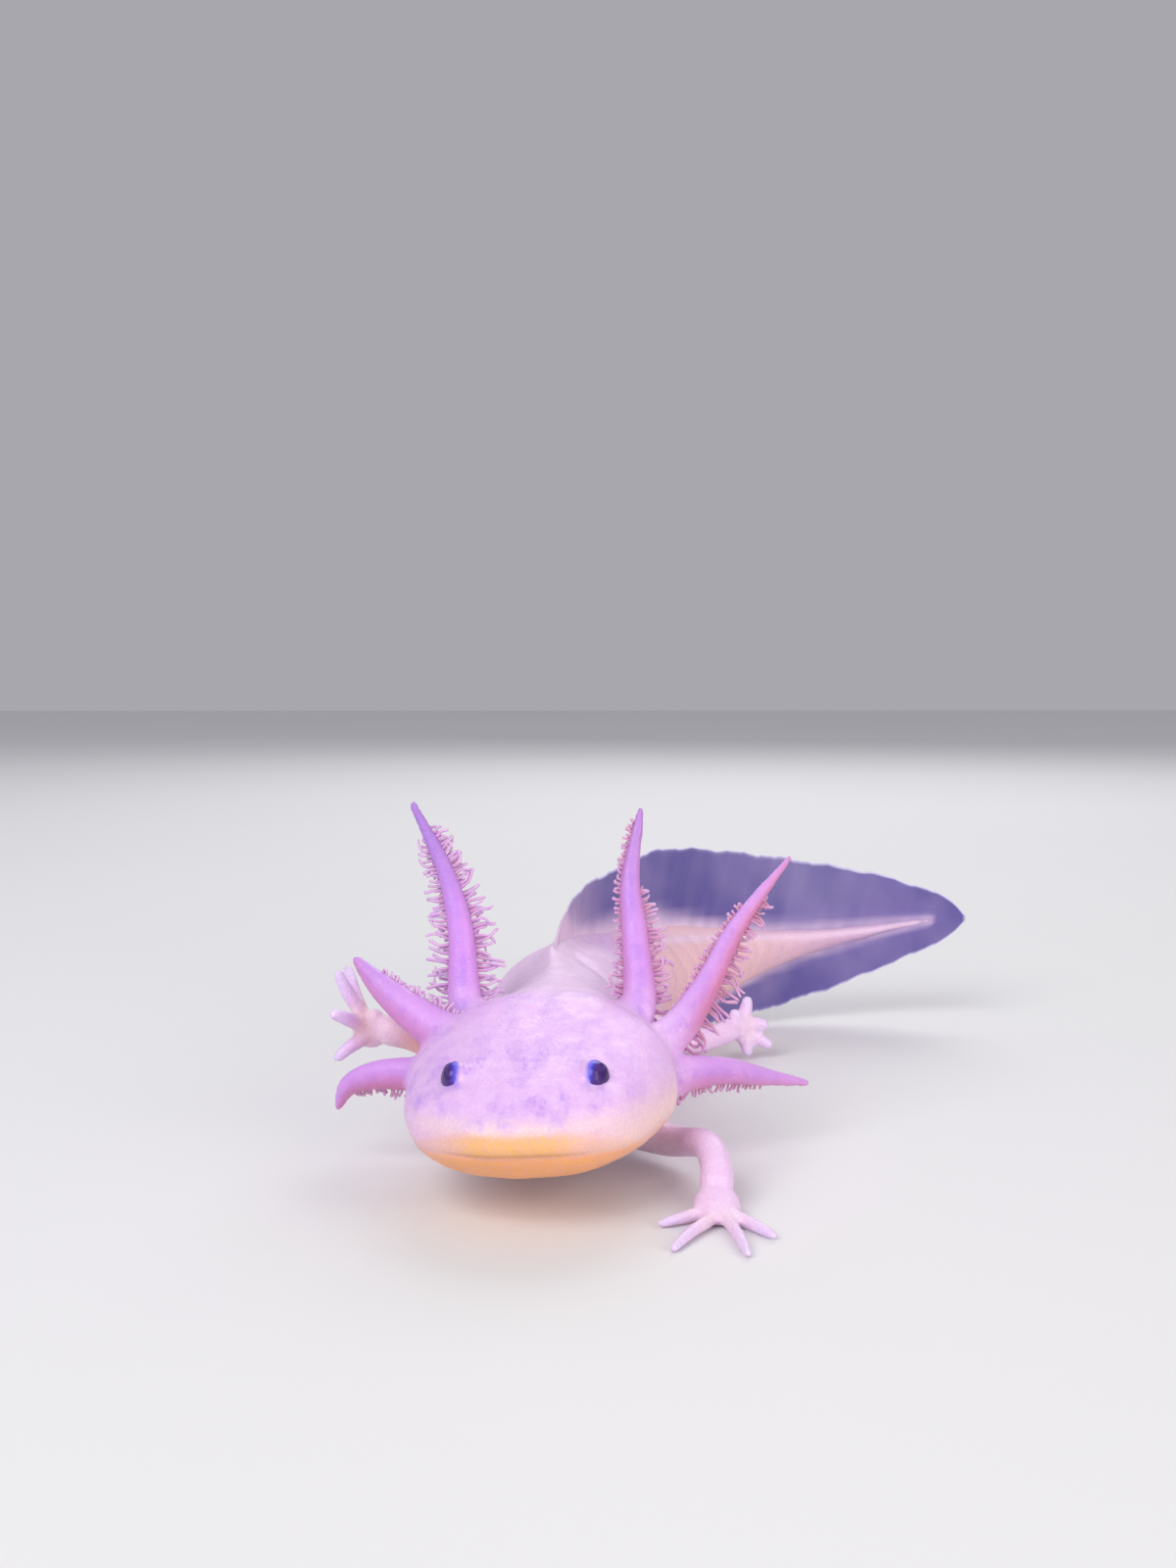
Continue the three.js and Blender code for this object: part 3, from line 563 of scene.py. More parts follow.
def tube_rings(line, radii, rows, around, flat, squash=1.0, blunt=False, root=0.0):
    """Rings of a round-ended tube, flattened along flat; root swells its first part by that share."""
    curve = Curve(line)
    t = (1 - np.cos(np.pi * np.linspace(0, 1, rows))) / 2
    radius = smooth(list(zip(np.linspace(0, 1, len(radii)), radii)))(t)
    radius *= 1 + root * (1 - fade(t, 0.1, 0.45))
    from_end = np.minimum(t, 1 - t) * curve.length
    least = 0.12
    ends = np.maximum(rounding(from_end, radius), least)
    if blunt:
        ends = np.where(t < 0.5, 1, ends)
    ahead = curve.ahead(t, 0.02)
    across = unit(np.cross(ahead, unit(np.asarray(flat, float))))
    thick = unit(np.cross(across, ahead))
    turn = np.linspace(0, 2 * np.pi, around, endpoint=False)[None, :, None]
    size = (radius * ends)[:, None, None]
    section = np.cos(turn) * across[:, None] + squash * np.sin(turn) * thick[:, None]
    return curve.at(t)[:, None] + size * section, t


# ---------------------------------------------------------------- materials
def new_material(name):
    material = bpy.data.materials.new(name)
    material.use_nodes = True
    tree = material.node_tree
    tree.nodes.clear()
    out = tree.nodes.new("ShaderNodeOutputMaterial")
    shader = tree.nodes.new("ShaderNodeBsdfPrincipled")
    tree.links.new(shader.outputs["BSDF"], out.inputs["Surface"])
    return material, tree, shader


def value_of(tree, name):
    node = tree.nodes.new("ShaderNodeAttribute")
    node.attribute_name = name
    return node.outputs["Fac"]


def blend(tree, share, low, high, kind="MIX"):
    """A mix of two colours, each a socket or a plain colour."""
    node = tree.nodes.new("ShaderNodeMix")
    node.data_type = "RGBA"
    node.blend_type = kind
    node.clamp_factor = True
    for socket, value in ((node.inputs[0], share), (node.inputs[6], low), (node.inputs[7], high)):
        if isinstance(value, bpy.types.NodeSocket):
            tree.links.new(value, socket)
        else:
            socket.default_value = value if isinstance(value, float) else tuple(value)[:3] + (1.0,)
    return node.outputs[2]


def sums(tree, how, a, b):
    node = tree.nodes.new("ShaderNodeMath")
    node.operation = how
    for socket, value in zip(node.inputs, (a, b)):
        if isinstance(value, bpy.types.NodeSocket):
            tree.links.new(value, socket)
        else:
            socket.default_value = value
    return node.outputs[0]


def between(tree, value, low, high, to_low=0.0, to_high=1.0):
    """Smoothly from to_low where value is low, to to_high where it is high."""
    node = tree.nodes.new("ShaderNodeMapRange")
    node.interpolation_type = "SMOOTHSTEP"
    node.clamp = True
    tree.links.new(value, node.inputs["Value"])
    for key, number in (("From Min", low), ("From Max", high), ("To Min", to_low), ("To Max", to_high)):
        node.inputs[key].default_value = number
    return node.outputs["Result"]


def cloud(tree, scale, detail=2.0, rough=0.5, vector=None, warp=0.0):
    node = tree.nodes.new("ShaderNodeTexNoise")
    node.inputs["Scale"].default_value = scale
    node.inputs["Detail"].default_value = detail
    node.inputs["Roughness"].default_value = rough
    node.inputs["Distortion"].default_value = warp
    if vector is None:
        vector = tree.nodes.new("ShaderNodeTexCoord").outputs["Object"]
    tree.links.new(vector, node.inputs["Vector"])
    return node.outputs["Fac"]


def effect(name, inputs, outputs, build):
    """A shader node group, made once."""
    group = bpy.data.node_groups.get(name)
    if group is None:
        group = bpy.data.node_groups.new(name, "ShaderNodeTree")
        for label, default in inputs:
            socket = group.interface.new_socket(label, in_out="INPUT", socket_type="NodeSocketFloat")
            socket.default_value = default
        for label in outputs:
            group.interface.new_socket(label, in_out="OUTPUT", socket_type="NodeSocketFloat")
        start = group.nodes.new("NodeGroupInput")
        end = group.nodes.new("NodeGroupOutput")
        build(group, start, end)
    return group


def build_grain(tree, start, end):
    """Fine pores and a soft unevenness, as a height and as a mask."""
    where = tree.nodes.new("ShaderNodeTexCoord").outputs["Object"]
    pores = tree.nodes.new("ShaderNodeTexVoronoi")
    pores.feature = "SMOOTH_F1"
    pores.inputs["Smoothness"].default_value = 0.6
    tree.links.new(where, pores.inputs["Vector"])
    tree.links.new(start.outputs["Pores"], pores.inputs["Scale"])
    soft = tree.nodes.new("ShaderNodeTexNoise")
    soft.inputs["Detail"].default_value = 3.0
    tree.links.new(where, soft.inputs["Vector"])
    tree.links.new(start.outputs["Waves"], soft.inputs["Scale"])
    height = sums(tree, "ADD", sums(tree, "MULTIPLY", pores.outputs["Distance"], 0.6), soft.outputs["Fac"])
    tree.links.new(height, end.inputs["Height"])
    tree.links.new(between(tree, soft.outputs["Fac"], 0.3, 0.7), end.inputs["Patches"])
    tree.links.new(between(tree, pores.outputs["Distance"], 0.15, 0.6), end.inputs["Specks"])


def grain(tree, pores, waves):
    node = tree.nodes.new("ShaderNodeGroup")
    inputs = (("Pores", 2500), ("Waves", 600))
    outputs = ("Height", "Patches", "Specks")
    node.node_tree = effect("Skin grain", inputs, outputs, build_grain)
    node.inputs["Pores"].default_value = pores
    node.inputs["Waves"].default_value = waves
    return [node.outputs[label] for label in outputs]


def relief(tree, shader, height, distance, strength=1.0):
    node = tree.nodes.new("ShaderNodeBump")
    node.inputs["Strength"].default_value = strength
    node.inputs["Distance"].default_value = distance
    tree.links.new(height, node.inputs["Height"])
    tree.links.new(node.outputs["Normal"], shader.inputs["Normal"])


def set_shader(shader, **values):
    for key, value in values.items():
        shader.inputs[key.replace("_", " ")].default_value = value


def painted_over(tree, colour, colours, names):
    """Lay each named colour over the last one, where the piece's value of the same name is painted."""
    for name in names:
        colour = blend(tree, value_of(tree, name), colour, getattr(colours, name))
    return colour


def skin_material(colours):
    material, tree, shader = new_material("Moist pale skin")
    height, patches, specks = grain(tree, 3000.0, 700.0)
    colour = blend(tree, patches, colours.skin, colours.skin_shade)
    # Painted warm light from below, cream with painted warm light, and the tail's, tail tip's and raised
    # arm's own colours.
    colour = painted_over(tree, colour, colours, ("warm", "cream", "tail", "tail_end", "peach"))
    stretched = tree.nodes.new("ShaderNodeMapping")
    stretched.inputs["Scale"].default_value = (1.0, 0.55, 1.0)
    tree.links.new(tree.nodes.new("ShaderNodeTexCoord").outputs["Object"], stretched.inputs["Vector"])
    spots = between(tree, cloud(tree, 1900.0, 2.0, 0.5, stretched.outputs["Vector"]), 0.44, 0.64)
    clouds = between(tree, cloud(tree, 400.0, 1.5, 0.5, stretched.outputs["Vector"]), 0.43, 0.62)
    mottle = sums(tree, "ADD", sums(tree, "MULTIPLY", spots, 0.55), 0.45)
    mottle = sums(tree, "MULTIPLY", sums(tree, "MULTIPLY", mottle, clouds), value_of(tree, "mottle"))
    colour = blend(tree, sums(tree, "MULTIPLY", mottle, 0.82), colour, colours.mottle)
    # Pale is mostly painted light, a highlight and lifted shade; chin and lip are painted warm light from
    # below.
    colour = painted_over(tree, colour, colours, ("pale", "chin", "lip", "gill"))
    streaks = between(tree, cloud(tree, 520.0, 2.0, 0.5), 0.4, 0.62, 0.15, 0.75)
    colour = blend(tree, sums(tree, "MULTIPLY", value_of(tree, "vein"), streaks), colour, colours.vein)
    colour = painted_over(tree, colour, colours, ("gill_tip", "gill_rear", "digit"))
    colour = blend(tree, sums(tree, "MULTIPLY", specks, 0.16), colour, colours.mottle)
    # Painted blue highlight round the eyes.
    colour = painted_over(tree, colour, colours, ("eye_ring",))
    # Painted shadow along the mouth's line.
    colour = blend(tree, sums(tree, "MULTIPLY", value_of(tree, "crease"), 0.3), colour, colours.crease)
    tree.links.new(colour, shader.inputs["Base Color"])
    tree.links.new(between(tree, patches, 0.0, 1.0, 0.36, 0.5), shader.inputs["Roughness"])
    relief(tree, shader, height, 0.00011, 0.8)
    set_shader(
        shader, Subsurface_Weight=0.2, Subsurface_Scale=0.0012, Coat_Weight=0.08, Coat_Roughness=0.25,
        Subsurface_Radius=(1.0, 0.45, 0.35), Specular_IOR_Level=0.4,
    )
    return material


def eye_material(colours):
    material, tree, shader = new_material("Dark glossy eye")
    flecks = between(tree, cloud(tree, 2600.0, 3.0, 0.6), 0.4, 0.7)
    pupil = between(tree, value_of(tree, "edge"), 0.16, 0.3)
    colour = blend(tree, flecks, colours.iris, colours.eye)
    colour = blend(tree, pupil, colours.eye, colour)
    # Painted blue highlight on the eye's inner side.
    colour = painted_over(tree, colour, colours, ("eye_edge", "eye_ring"))
    tree.links.new(colour, shader.inputs["Base Color"])
    tree.links.new(between(tree, value_of(tree, "edge"), 0.4, 0.8, 0.14, 0.3), shader.inputs["Roughness"])
    set_shader(shader, Coat_Weight=0.2, Coat_Roughness=0.1, Specular_IOR_Level=0.25)
    return material


def fin_material(colours):
    material, tree, shader = new_material("Fin membrane")
    reach, ray = value_of(tree, "reach"), value_of(tree, "ray")
    where = tree.nodes.new("ShaderNodeCombineXYZ")
    tree.links.new(ray, where.inputs["X"])
    tree.links.new(sums(tree, "MULTIPLY", reach, 0.02), where.inputs["Y"])
    rays = between(tree, cloud(tree, 42.0, 1.5, 0.45, where.outputs["Vector"]), 0.35, 0.7)
    broad = between(tree, cloud(tree, 70.0, 2.0, 0.55), 0.38, 0.62)
    root, hem = value_of(tree, "root"), value_of(tree, "hem")
    colour = blend(tree, broad, colours.fin, colours.fin_shade)
    colour = blend(tree, root, colour, colours.fin_root)
    streaks = sums(tree, "MULTIPLY", rays, between(tree, root, 0.0, 1.0, 0.04, 0.3))
    colour = blend(tree, streaks, colour, colours.pale)
    colour = blend(tree, hem, colour, colours.fin_hem)
    tree.links.new(colour, shader.inputs["Base Color"])
    solid = between(tree, reach, 0.0, 0.6, 0.96, 0.84)
    solid = sums(tree, "ADD", solid, sums(tree, "MULTIPLY", streaks, 0.25))
    solid = sums(tree, "MAXIMUM", solid, sums(tree, "MULTIPLY", hem, 0.9))
    tree.links.new(solid, shader.inputs["Alpha"])
    relief(tree, shader, rays, 0.00004, 0.4)
    set_shader(
        shader, Roughness=0.32, Coat_Weight=0.25, Coat_Roughness=0.12, Subsurface_Weight=0.15,
        Subsurface_Scale=0.001, Subsurface_Radius=(0.8, 0.6, 1.0),
    )
    return material


def filament_material(colours):
    material, tree, shader = new_material("Gill filaments")
    tip = value_of(tree, "tip")
    uneven = between(tree, cloud(tree, 900.0, 2.0, 0.5), 0.3, 0.7)
    rose = sums(tree, "MULTIPLY", value_of(tree, "rose"), between(tree, tip, 1.0, 0.1, 0.35, 0.85))
    colour = blend(tree, between(tree, tip, 0.0, 0.75), colours.filament_root, colours.filament)
    colour = blend(tree, rose, colour, colours.filament_rose)
    colour = blend(tree, sums(tree, "MULTIPLY", uneven, 0.35), colour, colours.gill)
    tree.links.new(colour, shader.inputs["Base Color"])
    tree.links.new(between(tree, uneven, 0.0, 1.0, 0.3, 0.42), shader.inputs["Roughness"])
    relief(tree, shader, uneven, 0.00003, 0.5)
    set_shader(
        shader, Subsurface_Weight=0.3, Subsurface_Scale=0.0006, Subsurface_Radius=(1.0, 0.4, 0.35),
        Coat_Weight=0.25, Coat_Roughness=0.15,
    )
    return material


def floor_material():
    material, tree, shader = new_material("Studio floor")
    colour = blend(tree, cloud(tree, 6.0, 2.0), (0.80, 0.80, 0.81), (0.84, 0.84, 0.85))
    tree.links.new(colour, shader.inputs["Base Color"])
    set_shader(shader, Roughness=0.75)
    return material


# ---------------------------------------------------------------- skin
class Landmarks:
    """Points of the parts before they become one skin, which tell each point of the skin what it lies on."""

    def __init__(self):
        self.spots, self.rows = [], []

    def add(self, kind, which, rings, along):
        rings = np.asarray(rings)
        rows, around = rings.shape[:2]
        turn = np.linspace(0, 1, around, endpoint=False)
        self.spots.append(rings.reshape(-1, 3))
        facts = np.stack(np.broadcast_arrays(kind, which, np.asarray(along)[:, None], turn[None]), -1)
        self.rows.append(facts.reshape(-1, 4))

    def facts_at(self, spots):
        """The part, its number, the share along it and the turn round it, for each spot."""
        return np.concatenate(self.rows)[nearest(np.concatenate(self.spots), spots)]


BODY_PART, GILL_PART, LEG_PART, DIGIT_PART = range(4)


def body_tube(marks):
    snout = (0.02, 0.12, 0.3, 0.55, 0.9, 1.3, 1.8, 2.4)
    rows = np.r_[snout, np.arange(3.1, 24, 0.8), np.arange(24, CORE_END, 1.1), CORE_END]
    angles = np.linspace(0, 360, 72, endpoint=False)
    rings = surface(rows[:, None], angles[None])
    marks.add(BODY_PART, 0, rings, rows)
    return wrap("trunk", rings)


def brow_balls():
    balls = []
    for side in (1, -1):
        middle, facing, _ = eye_place(side)
        behind = middle - facing * (BROW["depth"] - EYE["depth"])
        bpy.ops.mesh.primitive_uv_sphere_add(
            segments=32, ring_count=20, radius=BROW["radius"] * MM, location=behind * MM
        )
        balls.append(bpy.context.object)
        bpy.ops.object.transform_apply(location=True, rotation=True, scale=True)
    return balls


def gill_stalk(which, gill, marks):
    rings, t = tube_rings(gill["line"], gill["radii"], 48, 20, BACKWARDS, GILL_DEPTH, root=0.22)
    marks.add(GILL_PART, which, rings, t)
    return wrap("stalk", rings)


def leg_tubes(which, leg, marks):
    flat = leg["flat"]
    rings, t = tube_rings(leg["line"], leg["radii"], 40, 20, UP, root=0.25)
    marks.add(LEG_PART, which, rings, t)
    parts = [wrap("leg", rings)]
    rings, t = tube_rings(leg["palm"], leg["palm_radii"], 18, 20, flat, leg["squash"])
    marks.add(LEG_PART, which, rings, 0 * t + 1)
    parts.append(wrap("palm", rings))
    thick = [share * leg["digit"] * DIGIT_GROWTH for share in DIGIT_THICK]
    for digit in leg["digits"]:
        rings, t = tube_rings((leg["palm"][1],) + digit, thick, 24, 14, flat, blunt=True)
        marks.add(DIGIT_PART, which, rings, t)
        parts.append(wrap("digit", rings))
    return parts


class Ground:
    """What each point of the skin lies on: where it is along the body, across it and how high."""

    def __init__(self, spots, marks):
        shares = np.linspace(0, 1, 500)
        line, ahead = SPINE.at(shares), SPINE.ahead(shares)
        beside = np.empty(len(spots), int)
        chunk = 8000
        for start in range(0, len(spots), chunk):
            part = spots[start : start + chunk, None, :2] - line[None, :, :2]
            beside[start : start + chunk] = (part**2).sum(-1).argmin(1)
        offset = spots - line[beside]
        way = ahead[beside]
        self.along = shares[beside] * LENGTH + (offset * way).sum(1)
        self.across = offset[:, 0] * way[:, 1] - offset[:, 1] * way[:, 0]
        roll = HEAD_ROLL * (1 - fade(self.along, *HEAD_TO_TRUNK))
        lift = spots[:, 2] - wide(self.along)
        self.level = wide(self.along) + lift * np.cos(roll) - self.across * np.sin(roll)
        self.across = self.across * np.cos(roll) + lift * np.sin(roll)
        self.height = spots[:, 2]
        self.kind, self.which, self.t, self.turn = marks.facts_at(spots).T
        self.is_body = (self.kind == BODY_PART).astype(float)


def shape_mouth(spots, ways, ground, sizes):
    """The lip line, with a rounded lip over it and a narrower one under it. Returns the mask of its painted
    shadow.
    """
    above = ground.level - mouth_line(ground.along)
    here = ground.is_body * (1 - fade(ground.along, 11.6, 13.2))
    depth = sizes.mouth_depth / MM
    move = -depth * hump(above, 0, 0.24) + 0.10 * hump(above, 0.85, 0.6) + 0.05 * hump(above, -0.75, 0.5)
    move *= 1 - 0.7 * fade(ground.along, 0.8, 4)
    spots += ways * (move * here)[:, None]
    _, ahead, _ = station(2.0)
    tuck = 0.12 * fade(above, 0.1, -0.2) * (1 - fade(ground.along, 1.5, 7)) * here
    spots += ahead * tuck[:, None]
    return np.clip(hump(above, 0, 0.3) * here * (1 - fade(ground.along, 0.6, 3)), 0, 1)


def shape_eyes(spots, radius):
    """Draw the skin over each eyeball but for an opening. Returns its rim's painted blue highlight and the
    socket round it.
    """
    tint, socket = np.zeros(len(spots)), np.zeros(len(spots), bool)
    for side in (1, -1):
        way, far, turn, edge = round_eye(spots, side)
        over = radius + 0.04 + 0.06 * hump(turn, edge + 6, 6)
        hugged = np.where(far < over, over, over + (far - over) * fade(turn, edge + 3, edge + 36))
        sunk = np.minimum(far, radius - 0.4)
        drawn = sunk + (hugged - sunk) * fade(turn, edge - 5, edge)
        near = fade(far, 3.1, 2.3)
        spots += way * ((drawn - far) * near)[:, None]
        inner = way @ inward(side)
        # A painted blue highlight on the skin over the eye's inner side, faint all round.
        tint += near * fade(turn, edge + 20, edge - 2) * (0.06 + 0.94 * fade(inner, 0.1, 0.6))
        socket |= (far < 3.7) & (turn > edge + 14)
    return np.clip(tint, 0, 1), socket


def cover_eyes(skin, radius):
    """Keep the skin outside the eyeballs, up to the rims of their openings."""
    spots = points_of(skin)
    for side in (1, -1):
        way, far, turn, edge = round_eye(spots, side)
        lift = np.where(turn > edge, np.maximum(radius + 0.05 - far, 0), 0)
        spots += way * (lift * (far < 2 * radius))[:, None]
    place(skin, spots)


def shape_nostrils(spots, ways, ground):
    """A small hole on each side of the snout, with a low rim."""
    for side in (1, -1):
        far = np.hypot(1.4 * (ground.level - NOSTRIL["level"]), ground.across - side * NOSTRIL["across"])
        here = ground.is_body * (ground.along < 3) * (ground.level > 9.0)
        spots += ways * (here * (0.03 * hump(far, 0.45, 0.22) - 0.18 * hump(far, 0, 0.22)))[:, None]


def grooves(count, width):
    """A groove at each whole number, as the places between them are counted."""
    return hump((count + 0.5) % 1 - 0.5, 0, width)


def shape_folds(spots, ways, ground, sizes):
    """The folds at throat and bend, the grooves of neck, ribs and muscles, and the ridge of the back."""
    along, across, height = ground.along, ground.across, ground.height
    out = np.abs(across)
    under = fade(ground.level, 7.5, 5.0) * (out < 12)
    throat = along - 21.3 + 0.02 * across**2
    flank = fade(out, 3.5, 7.0) * fade(height, 1.0, 3.5) * fade(height, 17.4, 14.5)
    neck = hump(along, 26.2 + 0.12 * (height - 9), 0.6)
    ribs = grooves((along - RIBS["first"] - 0.06 * (height - 9)) / RIBS["pitch"], 0.17)
    trunk = fade(along, 32.5, 35) * (1 - fade(along, 62, 65))
    bent = np.abs(ground.level - wide(along) - 1.0)
    muscles = grooves((along - MUSCLES["first"] + 0.55 * bent) / MUSCLES["pitch"], 0.2)
    tail = fade(along, 65, 69) * (1 - fade(along, 104, 116)) * fade(out, 0.8, 2.5)
    bend = hump((along - 46.5 + 1.75 * across) / 2, 0, 0.95) * fade(across, 0.6, 2) * fade(across, 7, 4.5)
    upper = (height > wide(along)).astype(float)
    dip = hump(across, 0, 0.9) * upper * fade(along, 12, 18) * (1 - fade(along, 28, 34))
    front = hump(along, 45, 6)
    ridge = (1 + 0.6 * front) * hump(across, -fin_lean(along), 1.1 + 0.5 * front)
    ridge *= upper * fade(along, 33, 46) * (1 - fade(along, 80, 100))
    move = (0.25 * hump(throat, -1.0, 0.7) - 0.5 * hump(throat, 0, 0.4)) * under - 0.28 * neck * flank
    move -= sizes.groove_depth / MM * ribs * flank * trunk + 0.08 * muscles * tail + 0.22 * bend
    move += 0.9 * ridge - 0.12 * dip
    spots += ways * (move * ground.is_body)[:, None]


def shape_unevenness(spots, ways, ground):
    """Soft swellings, as living flesh has."""
    broad, small = (np.array([noise.noise(Vector(spot * size)) for spot in spots]) for size in (0.22, 0.55))
    height = np.where(ground.kind == BODY_PART, 0.12, 0.05)
    spots += ways * ((broad + 0.5 * small) * height)[:, None]


def head_paint(ground, head):
    """The masks of the head's colours, each with how often it is evened out; lip and chin are painted warm
    light.
    """
    along, level, across = ground.along, ground.level, np.abs(ground.across)
    above = level - mouth_line(along)
    lip_top = 2.15 - 0.035 * np.maximum(across - 3.5, 0) ** 2
    # The lip's gold is painted warm light from below, on the upper lip's face.
    lip = fade(above - lip_top, 0.2, -0.3) * fade(above, -0.25, 0.0) * (1 - fade(along, 5, 14))
    lip *= 1 - 0.3 * fade(across, 3.2, 6.5) - 0.45 * fade(across, 5.5, 11)
    # The chin's orange is painted warm light from below.
    chin = fade(above, 0.1, -0.3) * (1 - fade(along, 4, 17))
    chin *= 1 - 0.45 * fade(-ground.across, 6, 11) - 0.15 * fade(ground.across, 6, 11)
    mottle = fade(level, 9.7, 10.6) * (1 - 0.6 * fade(along, 8, 14))
    mottle *= 1 - 0.6 * fade(ground.across, 7.5, 10.5)
    return {"lip": (head * lip, 2), "chin": (head * chin, 5), "mottle": (head * mottle, 4)}


def body_paint(ground, head):
    """The masks of the colours that run over head, trunk, tail and legs; most of the warm, cream and pale is
    painted light.
    """
    along, level, body = ground.along, ground.level, ground.is_body
    above = level - mouth_line(along)
    leg = (ground.kind >= LEG_PART).astype(float)
    right = ground.which == 1
    right_arm = (ground.kind == LEG_PART) * right
    palm = fade(ground.t, 0.75, 0.95)
    right_digits = (ground.kind == DIGIT_PART) * right * fade(ground.t, 0.6, 0.1)
    trunk = (1 - head) * body
    # The band over the lip, painted warm light from below.
    band = head * hump(above, 2.5, 0.5) * (1 - fade(along, 2, 8)) * 0.75
    # Painted warm light from below: on the head's lower sides and under the mouth line, low on the flanks and
    # at the legs' roots.
    warm = np.maximum.reduce([
        head * fade(level, 10.6, 7.6) * fade(np.abs(ground.across), 5.5, 10.5) * 0.6,
        head * fade(above, 0.2, -0.6),
        band,
        trunk * fade(level - wide(along), 3.0, -5.0) * 0.6,
        leg * fade(ground.t, 0.7, 0.1) * 0.2,
    ])
    # Painted warm light from below on the animal's left cheek and over the lip, and cream on the raised right
    # palm and its digits.
    cream = np.maximum.reduce([
        head * fade(level, 12.8, 8.2) * fade(ground.across, 5.5, 11) * 0.75,
        band,
        right_arm * palm * 0.65,
        right_digits * 0.8,
    ])
    tail = body * fade(along, 62, 76) * 0.85
    # Mostly painted light: a highlight on the lip's upper edge, and light that lifts the shade on the legs,
    # the right palm and the front of the back; along the tail's top a pale line.
    pale = np.maximum.reduce([
        head * hump(above, 2.9, 0.8) * (1 - fade(along, 2, 7)) * 0.4,
        tail * hump(level - top(along), -0.7, 0.45),
        leg * np.where(right, 0.7 * palm, 1 - 0.5 * fade(ground.t, 0.35, 0.6)),
        trunk * fade(along, 66, 50) * fade(level - wide(along), -1, 3) * 0.55,
    ])
    return {
        "warm": (warm, 10), "cream": (cream, 8), "tail": (tail, 8), "pale": (pale, 2),
        "tail_end": (body * fade(along, 88, 118) * 0.85, 4),
        "peach": (right_arm * 0.85 * (1 - 0.8 * palm), 8),
        "digit": ((ground.kind == DIGIT_PART) * fade(ground.t, 0.35, 0.9), 3),
    }


def gill_paint(ground):
    """The masks of the stalks' colours, by each gill's own look."""
    gill = (ground.kind == GILL_PART).astype(float)
    stalk = ground.which.astype(int) % len(GILLS)
    tint, dusk, red, side = (
        np.array([each["look"][key] for each in GILLS.values()])[stalk]
        for key in ("tint", "dusk", "red", "side")
    )
    turn = ground.turn * 2 * np.pi
    right = np.cos(turn)
    vein = hump(right, 0.05, 0.34) * (np.sin(turn) < 0) * fade(ground.t, 0.95, 0.75)
    red_side = np.where(side == 0, fade(np.abs(right), 0.4, 1), fade(right * side, -0.5, 0.7))
    return {
        "gill": (gill * fade(ground.t, 0.1, 0.36) * tint, 12),
        "vein": (gill * vein, 5),
        "gill_rear": (gill * red * red_side * fade(ground.t, 0.1, 0.3), 4),
        "gill_tip": (gill * fade(ground.t, 0.45, 0.95) * dusk, 3),
    }


def paint_skin(skin, ground, crease, rings):
    """Keep each colour's mask on the skin, for the material to read."""
    pairs = edges_of(skin)
    head = ground.is_body * (1 - fade(ground.along, 21, 26))
    masks = {**head_paint(ground, head), **body_paint(ground, head), **gill_paint(ground)}
    for name, (values, times) in {**masks, "eye_ring": (rings, 1), "crease": (crease, 0)}.items():
        paint(skin, name, spread(values, pairs, times))


class AXOLOTL_OT_skin(bpy.types.Operator):
    """Build the one skin over the head, trunk, tail, legs and gill stalks"""

    bl_idname = "axolotl.skin"
    bl_label = "Skin"

    def execute(self, context):
        sizes = context.scene.axolotl_sizes
        marks = Landmarks()
        parts = [body_tube(marks), *brow_balls()]
        for which, gill in enumerate(GILLS.values()):
            parts.append(gill_stalk(which, gill, marks))
        for which, leg in enumerate(LEGS):
            parts += leg_tubes(which, leg, marks)
        skin = join("axolotl_skin", parts)
        finish_with(skin, "REMESH", mode="VOXEL", voxel_size=sizes.skin_cell)
        finish_with(skin, "SMOOTH", factor=0.5, iterations=4)
        self.even_joins(skin, marks)
        self.refine_face(skin, marks)
        spots, ways = points_of(skin), normals_of(skin)
        ground = Ground(spots, marks)
        shape_unevenness(spots, ways, ground)
        shape_folds(spots, ways, ground, sizes)
        crease = shape_mouth(spots, ways, ground, sizes)
        shape_nostrils(spots, ways, ground)
        # The painted blue highlight on the skin round each eye, and the socket round it.
        rings, socket = shape_eyes(spots, sizes.eye_radius / MM)
        spots[:, 2] = np.maximum(spots[:, 2], 0)
        place(skin, spots)
        even_out(skin, socket, 60)
        cover_eyes(skin, sizes.eye_radius / MM)
        paint_skin(skin, ground, crease, rings)
        skin.data.materials.append(skin_material(context.scene.axolotl_colours))
        shade_smooth(skin)
        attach(skin, "root")
        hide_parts(*FLESH, *(f"gill_{name}" for name in GILLS))
        return {"FINISHED"}

    def even_joins(self, skin, marks):
        """Round off the hollows where legs and gills leave the body, and the swelling round each eye."""
        pairs = edges_of(skin)
        spots = points_of(skin)
        is_body = Ground(spots, marks).is_body
        share = np.clip(1.25 - np.abs(spread(is_body, pairs, 16) - 0.5) * 2.6, 0, 1)
        for side in (1, -1):
            far = round_eye(spots, side)[1]
            share = np.maximum(share, fade(far, 3.9, 2.7) * 0.9)
        for _ in range(26):
            spots += (spread(spots, pairs, 1) - spots) * share[:, None]
        place(skin, spots)

    def refine_face(self, skin, marks):
        """Smaller faces along the lip line, at the nostrils and round the eyes."""
        spots = points_of(skin)
        ground = Ground(spots, marks)
        above = ground.level - mouth_line(ground.along)
        lips = (ground.is_body > 0) & (ground.along < 13.6) & (np.abs(above) < 0.9)
        refine(skin, lips, 2)
        spots = points_of(skin)
        ground = Ground(spots, marks)
        nose = (ground.is_body > 0) & (ground.along < 3) & (np.abs(ground.level - NOSTRIL["level"]) < 0.7)
        nose &= np.abs(np.abs(ground.across) - NOSTRIL["across"]) < 0.9
        far = np.min([round_eye(spots, side)[1] for side in (1, -1)], axis=0)
        refine(skin, nose | (far < 2.5), 2)


